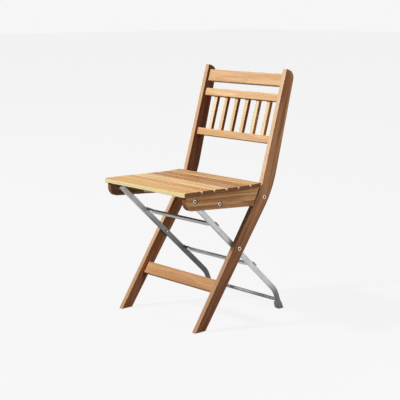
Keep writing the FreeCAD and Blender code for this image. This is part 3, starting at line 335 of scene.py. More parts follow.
@dataclass(frozen=True)
class OiledHardwood:
    """Plantation hardwood, planed, sanded and oiled.

    It gives the eye warm bands that run along each board, darker lines where a ring of
    late wood meets the face, short open pores, darker end grain and a low satin sheen.
    All sizes are in millimetres.

    Attributes:
        name: Name of the material.
        board: The board's colours.
        grain: How the grain runs.
        seed: Shifts the figure, so that no two boards are alike.
        painted_shade_and_crown: Its painted shade by height and the tint of its top end, if it
            has them.
        pith: Where the heart of the tree lies, across and behind the board.
        ring_width: Width of one year's ring.
        band_width: Width of a pale or a deep band.
        fibre_width: Width of a bundle of fibres.
        pore_width: Width of an open pore.
        wander: How far the rings stray from straight lines.
        pore_colour: Colour of the open pores.
    """

    name: str
    board: Board
    grain: StraightGrain | KneedGrain
    seed: float
    painted_shade_and_crown: PaintedShadeAndCrown | None = None
    pith: tuple[float, float] = (9.0, 62.0)
    ring_width: float = 5.5
    band_width: float = 16.0
    fibre_width: float = 2.2
    pore_width: float = 0.5
    wander: float = 9.0
    pore_colour: str = "5A371F"

    def noise(self, tree: bpy.types.NodeTree, position: bpy.types.NodeSocket, length: float,
              width: float, detail: float) -> bpy.types.Node:
        """Noise drawn out along the grain.

        Args:
            tree: The material's node tree.
            position: Coordinates along and across the grain, in millimetres.
            length: Length of one fleck, in millimetres.
            width: Its width, in millimetres.
            detail: How many finer layers it has.

        Returns:
            The noise node.
        """
        stretched = add_node(tree, "ShaderNodeVectorMath",
                             {0: position, 1: (1 / length, 1 / width, 1 / width)},
                             operation="MULTIPLY")
        return add_node(tree, "ShaderNodeTexNoise",
                        {"Vector": stretched.outputs["Vector"], "Scale": 1.0,
                         "Detail": detail, "Roughness": 0.55})

    def towards(self, tree: bpy.types.NodeTree, direction: Vector) -> bpy.types.NodeSocket:
        """How far the surface looks along a direction, from -1 to 1."""
        where = add_node(tree, "ShaderNodeTexCoord")
        return add_node(tree, "ShaderNodeVectorMath",
                        {0: where.outputs["Normal"], 1: direction.normalized()},
                        operation="DOT_PRODUCT").outputs["Value"]

    def facing(self, tree: bpy.types.NodeTree, direction: Vector) -> bpy.types.NodeSocket:
        """How far the surface looks along or against a direction, from 0 to 1."""
        return add_node(tree, "ShaderNodeMath", {0: self.towards(tree, direction)},
                        operation="ABSOLUTE").outputs["Value"]

    def with_painted_shade_and_crown(self, tree: bpy.types.NodeTree, colour: bpy.types.NodeSocket,
               edge: bpy.types.NodeSocket, painted_shade_and_crown: PaintedShadeAndCrown) -> bpy.types.NodeSocket:
        """The wood's colour with its painted shade by height and its top end's tint.

        Args:
            tree: The material's node tree.
            colour: The wood's own colour.
            edge: One on the narrow faces, nought on the broad ones.
            painted_shade_and_crown: The painted shade by height and the top end's tint.

        Returns:
            The socket with the colour after its painted shade and tint.
        """
        heights = millimetres(tree)
        tint = add_node(tree, "ShaderNodeMix",
                        {MixSocket.FACTOR: edge,
                         MixSocket.FIRST_COLOUR: tone_by_height(tree, heights, painted_shade_and_crown.faces),
                         MixSocket.SECOND_COLOUR: tone_by_height(tree, heights, painted_shade_and_crown.edges)},
                        data_type="RGBA").outputs[MixResult.COLOUR]
        crown = add_node(tree, "ShaderNodeMapRange",
                         {"Value": self.towards(tree, TOP_END), "From Min": 0.45,
                          "From Max": 0.80},
                         interpolation_type="SMOOTHSTEP").outputs["Result"]
        for share, shade in ((1.0, tint), (crown, linear(painted_shade_and_crown.crown))):
            colour = add_node(tree, "ShaderNodeMix",
                              {MixSocket.FACTOR: share, MixSocket.FIRST_COLOUR: colour,
                               MixSocket.SECOND_COLOUR: shade}, data_type="RGBA",
                              blend_type="MULTIPLY").outputs[MixResult.COLOUR]
        return colour

    def material(self) -> bpy.types.Material:
        """The material of one board."""
        material, tree = empty_material(self.name)
        position = add_node(tree, "ShaderNodeTexCoord").outputs["Object"]
        local = self.grain.local(tree, position)
        shifted = add_node(tree, "ShaderNodeVectorMath",
                           {0: local, 1: (self.seed, 0.3 * self.seed, 0.0)},
                           operation="ADD").outputs["Vector"]
        drift = self.noise(tree, shifted, length=190, width=60, detail=1.5)
        bent = add_node(tree, "ShaderNodeVectorMath",
                        {0: drift.outputs["Color"], 1: (0.0, self.wander, self.wander),
                         2: local}, operation="MULTIPLY_ADD").outputs["Vector"]
        from_pith = add_node(tree, "ShaderNodeVectorMath", {0: bent, 1: (0.0, *self.pith)},
                             operation="ADD").outputs["Vector"]
        # A wave of scale 1 repeats every 2 pi / 20 units
        rings = add_node(tree, "ShaderNodeTexWave",
                         {"Vector": from_pith, "Scale": FULL_TURN / 20 / self.ring_width,
                          "Phase Offset": self.seed},
                         wave_type="RINGS", rings_direction="X", wave_profile="SAW")
        moved = add_node(tree, "ShaderNodeVectorMath",
                         {0: bent, 1: (2.3 * self.seed, self.seed, self.seed)},
                         operation="ADD").outputs["Vector"]
        bands = self.noise(tree, moved, length=260, width=self.band_width, detail=2.0)
        fibres = self.noise(tree, moved, length=45, width=self.fibre_width, detail=3.0)
        pores = self.noise(tree, moved, length=9, width=self.pore_width, detail=1.0)
        # Each row is a value, its range and the range that it is spread over
        late_wood, pore, band, edge, end_grain, ragged, fine, sheen = [
            add_node(tree, "ShaderNodeMapRange",
                     {"Value": value, "From Min": low, "From Max": high, "To Min": to_low,
                      "To Max": to_high}, interpolation_type="SMOOTHSTEP").outputs["Result"]
            for value, low, high, to_low, to_high in (
                (rings.outputs["Fac"], 0.45, 1.0, 0.0, 1.0),
                (pores.outputs["Fac"], 0.60, 0.72, 0.0, 1.0),
                (bands.outputs["Fac"], 0.36, 0.64, 0.0, 1.0),
                (self.facing(tree, self.grain.face), 0.60, 0.25, 0.0, 1.0),
                (self.facing(tree, self.grain.along), 0.70, 0.93, 0.0, 1.0),
                (fibres.outputs["Fac"], 0.35, 0.65, 0.1, 0.65),
                (fibres.outputs["Fac"], 0.30, 0.70, 0.86, 1.10),
                (fibres.outputs["Fac"], 0.2, 0.8, 0.46, 0.60))]
        streak, dark_pore = [
            add_node(tree, "ShaderNodeMath", {0: mark, 1: strength},
                     operation="MULTIPLY").outputs["Value"]
            for mark, strength in ((late_wood, ragged), (pore, 0.45))]
        colour: object = linear(self.board.pale)
        # Each row is a layer's share and its two colours, None being the colour so far
        for share, under, over in (
                (band, None, linear(self.board.deep)), (edge, None, linear(self.board.edge)),
                (end_grain, None, linear(self.board.end)),
                (streak, None, linear(self.board.streak)), (fine, BLACK, None),
                (dark_pore, None, linear(self.pore_colour))):
            colour = add_node(tree, "ShaderNodeMix",
                              {MixSocket.FACTOR: share,
                               MixSocket.FIRST_COLOUR: under or colour,
                               MixSocket.SECOND_COLOUR: over or colour},
                              data_type="RGBA").outputs[MixResult.COLOUR]
        # Painted shade by height, and the top end's tint, on the stiles
        if self.painted_shade_and_crown:
            colour = self.with_painted_shade_and_crown(tree, colour, edge, self.painted_shade_and_crown)
        relief = add_node(tree, "ShaderNodeMath",
                          {0: pore, 1: -1.2, 2: fibres.outputs["Fac"]},
                          operation="MULTIPLY_ADD").outputs["Value"]
        bump = add_node(tree, "ShaderNodeBump",
                        {"Height": relief, "Strength": 0.35, "Distance": 0.12 * MM})
        shader = add_node(tree, "ShaderNodeBsdfPrincipled",
                          {"Base Color": colour, "Roughness": sheen, "IOR": 1.45,
                           "Specular IOR Level": 0.1, "Normal": bump.outputs["Normal"]})
        add_node(tree, "ShaderNodeOutputMaterial", {"Surface": shader.outputs["BSDF"]})
        return material


# Metal and plastic

@dataclass(frozen=True)
class GalvanisedSteel:
    """Mild steel tube, dipped in zinc.

    It gives the eye a dull grey with faint crystal patches, clouded along the tube, a tone
    that changes with height, and soft wide reflections. The tones follow the photograph's
    broad trend, and where they darken they are painted shade.

    Attributes:
        name: Name of the material.
        tones: Heights in millimetres and the colour there, from the top down, darker as
            painted shade.
        mottle: How much darker its dullest patches are.
        spangle: Size of one zinc crystal patch, in millimetres.
        cloud: Length of one clouded stretch, in millimetres.
        roughness: How much the surface spreads its reflections.
        metallic: Less than 1 where a dull skin of oxide hides the metal.
        peel: Size of its orange peel, in millimetres, drawn coarser than the real one,
            which is too fine to show.
    """

    name: str
    tones: tuple[tuple[float, str], ...]
    mottle: float = 0.20
    spangle: float = 6.0
    cloud: float = 60.0
    roughness: float = 0.40
    metallic: float = 1.0
    peel: float = 2.5

    def material(self) -> bpy.types.Material:
        """The material of one tube or strap."""
        material, tree = empty_material(self.name)
        position = millimetres(tree)
        cells = add_node(tree, "ShaderNodeTexVoronoi",
                         {"Vector": position, "Scale": 1 / self.spangle})
        patches = add_node(tree, "ShaderNodeSeparateColor", {"Color": cells.outputs["Color"]})
        clouds = add_node(tree, "ShaderNodeTexNoise",
                          {"Vector": position, "Scale": 1 / self.cloud, "Detail": 3.0})
        mixed = add_node(tree, "ShaderNodeMath",
                         {0: patches.outputs["Red"], 1: 0.22, 2: clouds.outputs["Fac"]},
                         operation="MULTIPLY_ADD").outputs["Value"]
        kept = add_node(tree, "ShaderNodeMapRange",
                        {"Value": mixed, "From Min": 0.35, "From Max": 0.85,
                         "To Min": 1.0, "To Max": 1.0 - self.mottle},
                        interpolation_type="SMOOTHSTEP").outputs["Result"]
        colour = add_node(tree, "ShaderNodeMix",
                          {MixSocket.FACTOR: kept,
                           MixSocket.FIRST_COLOUR: BLACK,
                           MixSocket.SECOND_COLOUR: tone_by_height(tree, position,
                                                                   self.tones)},
                          data_type="RGBA").outputs[MixResult.COLOUR]
        roughness = add_node(tree, "ShaderNodeMapRange",
                             {"Value": patches.outputs["Green"],
                              "To Min": self.roughness - 0.04,
                              "To Max": self.roughness + 0.06}).outputs["Result"]
        grain = add_node(tree, "ShaderNodeTexNoise",
                         {"Vector": position, "Scale": 1 / self.peel, "Detail": 1.0})
        bump = add_node(tree, "ShaderNodeBump",
                        {"Height": grain.outputs["Fac"], "Strength": 0.10,
                         "Distance": 0.04 * MM})
        shader = add_node(tree, "ShaderNodeBsdfPrincipled",
                          {"Base Color": colour, "Metallic": self.metallic,
                           "Roughness": roughness, "Normal": bump.outputs["Normal"]})
        add_node(tree, "ShaderNodeOutputMaterial", {"Surface": shader.outputs["BSDF"]})
        return material


@dataclass(frozen=True)
class PlatedSteel:
    """Turned steel fasteners with a thin plating.

    They give the eye a bright surface with the fine rings of the lathe and a few dull
    specks, or a black one whose high spots are rubbed bare.

    Attributes:
        name: Name of the material.
        bright: Colour of the plating.
        worn: Colour of the specks.
        roughness: How much the surface spreads its reflections.
        speck: Size of a speck, in millimetres.
    """

    name: str
    bright: str
    worn: str
    roughness: float
    speck: float = 1.2

    def material(self) -> bpy.types.Material:
        """The material of one kind of fastener."""
        material, tree = empty_material(self.name)
        position = millimetres(tree)
        specks = add_node(tree, "ShaderNodeTexNoise",
                          {"Vector": position, "Scale": 1 / self.speck, "Detail": 4.0})
        factor = add_node(tree, "ShaderNodeMapRange",
                          {"Value": specks.outputs["Fac"], "From Min": 0.52,
                           "From Max": 0.70}).outputs["Result"]
        colour = add_node(tree, "ShaderNodeMix",
                          {MixSocket.FACTOR: factor,
                           MixSocket.FIRST_COLOUR: linear(self.bright),
                           MixSocket.SECOND_COLOUR: linear(self.worn)},
                          data_type="RGBA").outputs[MixResult.COLOUR]
        roughness = add_node(tree, "ShaderNodeMapRange",
                             {"Value": specks.outputs["Fac"],
                              "To Min": self.roughness - 0.05,
                              "To Max": self.roughness + 0.12}).outputs["Result"]
        bump = add_node(tree, "ShaderNodeBump",
                        {"Height": specks.outputs["Fac"], "Strength": 0.2,
                         "Distance": 0.03 * MM})
        shader = add_node(tree, "ShaderNodeBsdfPrincipled",
                          {"Base Color": colour, "Metallic": 1.0, "Roughness": roughness,
                           "Normal": bump.outputs["Normal"]})
        add_node(tree, "ShaderNodeOutputMaterial", {"Surface": shader.outputs["BSDF"]})
        return material


@dataclass(frozen=True)
class MouldedPlastic:
    """Injection-moulded plastic, polypropylene or nylon.

    It gives the eye one even colour with the fine spark texture of the mould, and paler
    scuffs where it has rubbed.

    Attributes:
        name: Name of the material.
        colour: Colour of the plastic.
        scuffed: Colour of the scuffs.
        texture: Size of the mould's grain, in millimetres.
        scuff: Size of a scuffed patch, in millimetres.
        roughness: How much the surface spreads its reflections.
    """

    name: str
    colour: str
    scuffed: str
    texture: float = 0.5
    scuff: float = 7.0
    roughness: float = 0.55

    def material(self) -> bpy.types.Material:
        """The material of one kind of moulding."""
        material, tree = empty_material(self.name)
        position = millimetres(tree)
        scuffs = add_node(tree, "ShaderNodeTexNoise",
                          {"Vector": position, "Scale": 1 / self.scuff, "Detail": 5.0})
        factor = add_node(tree, "ShaderNodeMapRange",
                          {"Value": scuffs.outputs["Fac"], "From Min": 0.55,
                           "From Max": 0.75, "To Max": 0.6}).outputs["Result"]
        colour = add_node(tree, "ShaderNodeMix",
                          {MixSocket.FACTOR: factor,
                           MixSocket.FIRST_COLOUR: linear(self.colour),
                           MixSocket.SECOND_COLOUR: linear(self.scuffed)},
                          data_type="RGBA").outputs[MixResult.COLOUR]
        spark = add_node(tree, "ShaderNodeTexNoise",
                         {"Vector": position, "Scale": 1 / self.texture, "Detail": 1.0})
        bump = add_node(tree, "ShaderNodeBump",
                        {"Height": spark.outputs["Fac"], "Strength": 0.3,
                         "Distance": 0.06 * MM})
        shader = add_node(tree, "ShaderNodeBsdfPrincipled",
                          {"Base Color": colour, "Roughness": self.roughness, "IOR": 1.49,
                           "Specular IOR Level": 0.4, "Normal": bump.outputs["Normal"]})
        add_node(tree, "ShaderNodeOutputMaterial", {"Surface": shader.outputs["BSDF"]})
        return material


# Shaping tools

def turned(profile: Sequence[tuple[float, float]], steps: int = 48) -> bmesh.types.BMesh:
    """Turns a profile about X, as on a lathe.

    Args:
        profile: Pairs of a place along X and a radius, in millimetres.
        steps: How many sides the round has.

    Returns:
        A closed mesh in metres.
    """
    shape = bmesh.new()
    points = [shape.verts.new((x * MM, radius * MM, 0.0)) for x, radius in profile]
    chain = [shape.edges.new(pair) for pair in zip(points, points[1:])]
    bmesh.ops.spin(shape, geom=points + chain, cent=(0, 0, 0), axis=(1, 0, 0),
                   angle=FULL_TURN, steps=steps, use_merge=True)
    bmesh.ops.remove_doubles(shape, verts=shape.verts, dist=0.001 * MM)
    return shape


def ring_of(shape: bmesh.types.BMesh, x: float, radius: float) -> list[bmesh.types.BMVert]:
    """The points of a turned shape at a place along X and a radius, in millimetres."""
    near = 0.02 * MM
    return [point for point in shape.verts
            if abs(point.co.x - x * MM) < near
            and abs(math.hypot(point.co.y, point.co.z) - radius * MM) < near]


def press_ring(points: Iterable[bmesh.types.BMVert], reach: Callable[[float], float],
               lift: Callable[[float], float] = lambda radius: 0.0) -> None:
    """Moves a ring in or out to an outline that depends on the angle.

    Args:
        points: The ring's points, round X.
        reach: The radius at an angle, in millimetres.
        lift: How far a point moves along X at a radius, in millimetres.
    """
    for point in points:
        angle = math.atan2(point.co.z, point.co.y)
        radius = reach(angle)
        point.co.y = radius * MM * math.cos(angle)
        point.co.z = radius * MM * math.sin(angle)
        point.co.x += lift(radius) * MM


def hexagon(flats: float) -> Callable[[float], float]:
    """The radius of a hexagon at an angle, from its width across flats."""
    sixth = FULL_TURN / 6
    return lambda angle: flats / 2 / math.cos((angle + sixth / 2) % sixth - sixth / 2)


def cross_slot(core: float, arm: float) -> Callable[[float], float]:
    """The radius of a four-armed screw slot at an angle."""
    sharpness = 8
    return lambda angle: core + (arm - core) * abs(math.cos(2 * angle)) ** sharpness


def placed(shape: bmesh.types.BMesh, move: Matrix) -> bmesh.types.BMesh:
    """The same mesh, moved."""
    bmesh.ops.transform(shape, matrix=move, verts=shape.verts)
    return shape


def joined(shapes: Iterable[bmesh.types.BMesh]) -> bmesh.types.BMesh:
    """One mesh made of several, which are used up."""
    whole = bmesh.new()
    for shape in shapes:
        carrier = bpy.data.meshes.new("carrier")
        shape.to_mesh(carrier)
        shape.free()
        whole.from_mesh(carrier)
        bpy.data.meshes.remove(carrier)
    return whole


def both_sides(shape: bmesh.types.BMesh) -> bmesh.types.BMesh:
    """The right side's mesh with its mirror image on the left."""
    bmesh.ops.mirror(shape, geom=shape.verts[:] + shape.edges[:] + shape.faces[:],
                     axis="X", merge_dist=0.0)
    return shape


def rim_edges(shape: bmesh.types.BMesh, sharp: float = 40.0) -> list[bmesh.types.BMEdge]:
    """Edges whose two faces meet at more than an angle in degrees."""
    limit = math.radians(sharp)
    return [edge for edge in shape.edges
            if len(edge.link_faces) == 2 and edge.calc_face_angle() > limit]


@dataclass(frozen=True)
class Piece:
    """One finished piece that is modelled here.

    Attributes:
        name: Name of the piece.
        body: The group that it moves with.
        slot: Its finish in the record. It is not used.
        stands_for: The CAD nodes that it replaces.
    """

    name: str
    body: Body
    slot: Slot
    stands_for: tuple[str, ...] = ()

    def make(self, shape: bmesh.types.BMesh, finish: Finish, crease: float = 35.0,
             second: Finish | None = None) -> bpy.types.Object:
        """Turns a mesh into the piece.

        Args:
            shape: The mesh in its place, which is used up.
            finish: What gives its material.
            crease: Edges sharper than this angle in degrees stay sharp.
            second: What gives the material of faces told apart by the shape.

        Returns:
            The finished object.
        """
        bmesh.ops.recalc_face_normals(shape, faces=shape.faces)
        mesh = bpy.data.meshes.new(self.name)
        shape.to_mesh(mesh)
        shape.free()
        mesh.shade_smooth()
        mesh.set_sharp_from_angle(angle=math.radians(crease))
        mesh.materials.append(finish.material())
        if second:
            mesh.materials.append(second.material())
        piece = bpy.data.objects.new(self.name, mesh)
        bpy.context.scene.collection.objects.link(piece)
        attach(piece, self.body.value)
        if self.stands_for:
            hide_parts(*self.stands_for)
        log.info("made %s, %d faces", self.name, len(mesh.polygons))
        return piece


def dress(node: str, finish: Finish) -> None:
    """Gives a CAD node its material.

    Args:
        node: Name of the node.
        finish: What gives its material.
    """
    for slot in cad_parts[node].material_slots:
        slot.material = finish.material()
    log.info("dressed %s", node)


def node_middle(node: str) -> Vector:
    """The middle of a CAD node's box."""
    low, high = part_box(node)
    return (low + high) / 2


def side_view(node: str) -> Vector:
    """The middle of a CAD node's box in the side view, on the chair's middle plane."""
    middle = node_middle(node)
    return Vector((0.0, middle.y, middle.z))


def lean_direction(lean: float) -> Vector:
    """The direction of a line that leans back by an angle."""
    return Vector((0.0, math.sin(lean), math.cos(lean)))


def front_direction(lean: float) -> Vector:
    """The direction that the front face of a leaning board looks in."""
    return Vector((0.0, -math.cos(lean), math.sin(lean)))


ZINC_PLATE = PlatedSteel("zinc_plated_steel", "DDDDD9", "A5A39B", roughness=0.32)
# Dark plating that paints the shade in the bolts' sockets and round their heads' rims
PAINTED_SHADE_PLATE = PlatedSteel("zinc_plated_steel_painted_shade", "3A3633", "6B6762", roughness=0.5)
DARK_RIVET = PlatedSteel("blackened_steel_rivet", "2C2C2D", "55524E", roughness=0.45)
DULL_NUT = PlatedSteel("zinc_plated_nut_steel", "8A8987", "6C6A67", roughness=0.42)
WHITE_NYLON = MouldedPlastic("natural_nylon", "D9D6CC", "B9B5A8", roughness=0.4)


# The wooden frame

@dataclass
class BackFrame:
    """Two bent stiles, the rails and spindles of the back, and the stretcher.

    Attributes:
        stile: Wood of the right stile.
        left_stile: Wood of the left stile.
        rails: The back rails' nodes and their wood.
        stretcher: Wood of the front stretcher.
        spindle: Wood of the right-hand spindles.
        dark_spindle: Wood of the others, whose sides are darker.
        left_painted_shade_and_crown: Painted shade of the left stile: faces darker above the
            seat, edges low down.
        right_painted_shade_and_crown: Painted shade of the right one: edges darker from the
            seat down, faces low down.
        spindles: How many spindles there are.
        dark_ones: How many of them, from the left, are of the darker wood.
        seeds: Shifts of the figure, one for each board.
    """

    stile: Board = Board("D2996E", "A26B46", "643A22", "F6D8B1")
    left_stile: Board = Board("E5A073", "C58259", "875233", "D8B088")
    rails: tuple[tuple[str, Board], ...] = (
        ("back_top_rail", Board("E7BF93", "DAAB7A", "C69260", "DDAB7B")),
        ("back_middle_rail", Board("F1CDA2", "E5BA88", "D2A06D", "E1B789")),
        ("back_lower_rail", Board("E5BD91", "D8AA79", "C59160", "D9A878")),
    )
    stretcher: Board = Board("CC9C6B", "BD8759", "9E6A41", "B58253")
    spindle: Board = Board("F4DEB4", "EBCC9D", "D3AA79", "FFCE9C")
    dark_spindle: Board = Board("F4D9B4", "E8C396", "C99E71", "A0623E")
    # The stiles' tones by height are painted shade
    left_painted_shade_and_crown: PaintedShadeAndCrown = PaintedShadeAndCrown(
        faces=((450.0, "B0A8AC"), (350.0, "F8F4F4")),
        edges=((400.0, "FFFFFF"), (60.0, "E4DCD4")))
    right_painted_shade_and_crown: PaintedShadeAndCrown = PaintedShadeAndCrown(
        faces=((400.0, "FFFFFF"), (200.0, "D4C8C8")),
        edges=((500.0, "F8F0F0"), (380.0, "C0A89C")))
    spindles: int = 6
    dark_ones: int = 4
    seeds: Iterable[float] = field(default_factory=lambda: iter(range(31, 2000, 137)))

    def dress_stiles(self) -> None:
        """Both stiles, whose grain follows the bend."""
        for node, board, painted_shade_and_crown in (
                ("stile_left", self.left_stile, self.left_painted_shade_and_crown),
                ("stile_right", self.stile, self.right_painted_shade_and_crown)):
            low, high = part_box(node)
            origin = Vector(((low.x + high.x) / 2, KNEE.y, KNEE.z))
            grain = KneedGrain(origin, lean_direction(LOWER_LEAN),
                               lean_direction(UPPER_LEAN), ACROSS)
            dress(node, OiledHardwood("oiled_hardwood_" + node, board, grain,
                                      next(self.seeds), painted_shade_and_crown))

    def dress_rails(self) -> None:
        """The three back rails and the stretcher, whose grain runs across the chair."""
        for node, board in self.rails:
            grain = StraightGrain(node_middle(node), ACROSS, front_direction(UPPER_LEAN))
            dress(node, OiledHardwood("oiled_hardwood_" + node, board, grain,
                                      next(self.seeds)))
        grain = StraightGrain(node_middle("front_stretcher"), ACROSS,
                              front_direction(LOWER_LEAN))
        dress("front_stretcher", OiledHardwood("oiled_hardwood_stretcher", self.stretcher,
                                               grain, next(self.seeds)))

    def dress_spindles(self) -> None:
        """The six spindles, from the left."""
        for number in range(1, self.spindles + 1):
            node = "back_spindle_%d" % number
            board = self.dark_spindle if number <= self.dark_ones else self.spindle
            grain = StraightGrain(node_middle(node), lean_direction(UPPER_LEAN),
                                  front_direction(UPPER_LEAN))
            dress(node, OiledHardwood("oiled_hardwood_" + node, board, grain,
                                      next(self.seeds)))

    def build(self) -> None:
        """Dresses every wooden piece of the frame."""
        self.dress_stiles()
        self.dress_rails()
        self.dress_spindles()


# Bolts, nuts and washers

@dataclass
class SocketBolt:
    """A bolt with a round head, a bevelled rim and a hexagon socket.

    Attributes:
        start: Where the shank starts, in millimetres from the middle of the chair.
        seat: Where the head's underside lies.
        face: Where the head's outer face lies.
        head: Radius of the head.
        shank: Radius of the shank.
        key: Width of the socket across its flats.
        depth: Depth of the socket.
    """

    start: float
    seat: float
    face: float
    head: float
    shank: float = 3.0
    key: float = 6.0
    depth: float = 2.8

    def shape(self) -> bmesh.types.BMesh:
        """The bolt on the X axis."""
        lead, rim, mouth, rest = 0.6, 0.7, 3.8, 0.25
        bolt = turned([
            (self.start, 0.0), (self.start, self.shank - lead),
            (self.start + lead, self.shank), (self.seat, self.shank),
            (self.seat, self.head - rest), (self.seat + rest, self.head),
            (self.face - rim, self.head), (self.face - rest, self.head - rest),
            (self.face, self.head - rim - rest), (self.face - rest, mouth + rest),
            (self.face - 2 * rest, mouth), (self.face - self.depth, mouth - rest),
            (self.face - self.depth - rest, 0.0),
        ])
        for x, radius in ((self.face - 2 * rest, mouth),
                          (self.face - self.depth, mouth - rest)):
            press_ring(ring_of(bolt, x, radius), hexagon(self.key))
        self.tell_apart(bolt)
        return bolt

    def tell_apart(self, bolt: bmesh.types.BMesh) -> None:
        """Gives the socket and the head's rim the second finish, a dark plating that paints
        their shade.
        """
        chamfer, below_socket = 0.3, 1.0
        lowest = (self.face - self.depth - below_socket) * MM
        highest = (self.face - chamfer) * MM
        for face in bolt.faces:
            if lowest < face.calc_center_median().x < highest:
                face.material_index = 1


@dataclass
class HexNut:
    """A hexagon nut whose outer corners are chamfered to a cone.

    Attributes:
        start: Its face towards the middle of the chair, in millimetres.
        end: Its face on the strap or leg.
        flats: Width across its flats.
        bore: Radius of the bolt in it.
    """

    start: float
    end: float
    flats: float = 10.6
    bore: float = 3.0

    def shape(self) -> bmesh.types.BMesh:
        """The nut on the X axis."""
        corner = self.flats / 2 + 0.4
        crown = self.flats / 2 - 0.35
        sink, collar = 0.5, 0.8
        slope = math.tan(math.radians(30))
        nut = turned([
            (self.start + sink, self.bore), (self.start, self.bore + sink),
            (self.start, crown), (self.start + sink, corner),
            (self.end - collar, corner), (self.end - collar, self.flats / 2 + collar),
            (self.end, self.flats / 2 + collar), (self.end, self.bore),
            (self.start + sink, self.bore),
        ])
        outline = hexagon(self.flats)
        press_ring(ring_of(nut, self.start + sink, corner), outline,
                   lambda radius: (radius - crown) * slope - sink)
        press_ring(ring_of(nut, self.end - collar, corner), outline)
        return nut


@dataclass
class PlainRing:
    """A washer or bush with eased rims.

    Attributes:
        start: Its face towards the middle of the chair, in millimetres.
        end: Its other face.
        outer: Its outer radius.
        bore: Radius of its hole.
        ease: How far its rims are eased.
    """

    start: float
    end: float
    outer: float
    bore: float = 3.05
    ease: float = 0.2

    def shape(self) -> bmesh.types.BMesh:
        """The ring on the X axis."""
        return turned([
            (self.start, self.bore), (self.start, self.outer - self.ease),
            (self.start + self.ease, self.outer), (self.end - self.ease, self.outer),
            (self.end, self.outer - self.ease), (self.end, self.bore),
            (self.start, self.bore),
        ])


class Turned(Protocol):
    """Anything turned on the X axis."""

    def shape(self) -> bmesh.types.BMesh:
        """Its mesh."""
        ...


def at_pivots(part: Turned, *nodes: str) -> bmesh.types.BMesh:
    """A turned part set on the axes of some CAD nodes, on both sides of the chair.

    Args:
        part: What is turned.
        nodes: CAD nodes that lie on those axes.

    Returns:
        All of the copies in one mesh.
    """
    shapes = [placed(part.shape(), Matrix.Translation(side_view(node))) for node in nodes]
    return both_sides(joined(shapes))


@dataclass
class PivotHardware:
    """The bolts, nuts, washers and bushes of the four pivots on each side.

    Places are millimetres from the middle of the chair.

    Attributes:
        flush_face: Outer face of the heads on the stiles.
        flush_seat: Their underside.
        flush_head: Their radius.
        sunk_face: Outer face of the heads in the seat rails' counterbores.
        sunk_seat: Their underside.
        sunk_head: Their radius.
        stub_end: Where the front bolts end, inside the seat rail.
        leg_outer: Outer face of the leg.
        leg_inner: Its inner face.
        strap_inner: Inner face of the strap.
        nut: Thickness of the nuts on the straps.
        flange: Thickness of the nuts and heads on the legs.
        washer: Thickness of the nylon washers.
        play: Gap between a nut and what it holds.
    """

    flush_face: float = 199.8
    flush_seat: float = 196.6
    flush_head: float = 7.0
    sunk_face: float = 197.8
    sunk_seat: float = 194.0
    sunk_head: float = 6.6
    stub_end: float = 182.5
    leg_outer: float = 181.0
    leg_inner: float = 171.0
    strap_inner: float = 178.0
    nut: float = 3.9
    flange: float = 2.3
    washer: float = 0.9
    play: float = 0.1

    def make_bolts(self) -> None:
        """The eight bolts, each pair with its own length."""
        strap_nut = self.strap_inner - self.nut
        leg_nut = self.leg_inner - self.flange
        for name, body, start, sunk in (
                ("link_pivot_bolts", Body.FRAME, strap_nut, False),
                ("leg_pivot_bolts", Body.FRAME, leg_nut, False),
                ("seat_link_bolts", Body.SEAT, strap_nut, True),
                ("seat_front_bolts", Body.SEAT, self.stub_end, True)):
            seat, face, head = ((self.sunk_seat, self.sunk_face, self.sunk_head) if sunk
                                else (self.flush_seat, self.flush_face, self.flush_head))
            Piece("socket_" + name, body, Slot.BOLT_STEEL, (name,)).make(
                at_pivots(SocketBolt(start, seat, face, head), name), ZINC_PLATE,
                second=PAINTED_SHADE_PLATE)

    def make_nuts(self) -> None:
        """The hexagon nuts behind the straps and legs."""
        for name, body, end, depth in (
                ("link_pivot_nuts", Body.FRAME, self.strap_inner, self.nut),
                ("leg_pivot_nuts", Body.FRAME, self.leg_inner, self.flange),
                ("seat_link_nuts", Body.SEAT, self.strap_inner, self.nut)):
            Piece("hexagon_" + name, body, Slot.BOLT_STEEL, (name,)).make(
                at_pivots(HexNut(end - depth - self.play, end - self.play), name),
                DULL_NUT, 25.0)

    def make_washers(self) -> None:
        """The nylon washers beside the wood, and the bushes in the legs."""
        washer = PlainRing(self.leg_outer, self.leg_outer + self.washer, 8.0)
        Piece("strap_washers", Body.LINKS, Slot.WASHER_NYLON, ("link_washers",)).make(
            at_pivots(washer, "link_pivot_nuts", "seat_link_nuts"), WHITE_NYLON)
        Piece("leg_washers", Body.LEGS, Slot.WASHER_NYLON, ("leg_pivot_washers",)).make(
            at_pivots(washer, "leg_pivot_nuts"), WHITE_NYLON)
        bush = PlainRing(self.leg_inner, self.leg_outer, 4.0)
        Piece("leg_bushes", Body.LEGS, Slot.WASHER_NYLON, ("leg_pivot_bushes",)).make(
            at_pivots(bush, "leg_pivot_nuts"), WHITE_NYLON)

    def make_studs(self) -> None:
        """The leg's half of the front pivot, with a flat round head inside."""
        start, head, ease = self.leg_inner - self.flange, 6.5, 0.6
        stud = turned([
            (start, 0.0), (start, head - 2 * ease), (start + ease / 2, head - ease / 2),
            (start + ease, head), (self.leg_inner, head), (self.leg_inner, 3.0),
            (self.leg_outer, 3.0), (self.leg_outer, 0.0),
        ])
        place = Matrix.Translation(side_view("leg_top_studs"))
        Piece("leg_top_pins", Body.LEGS, Slot.BOLT_STEEL, ("leg_top_studs",)).make(
            both_sides(placed(stud, place)), ZINC_PLATE)

    def build(self) -> None:
        """Makes all of the pivot hardware."""
        self.make_bolts()
        self.make_nuts()
        self.make_washers()
        self.make_studs()


# The straps

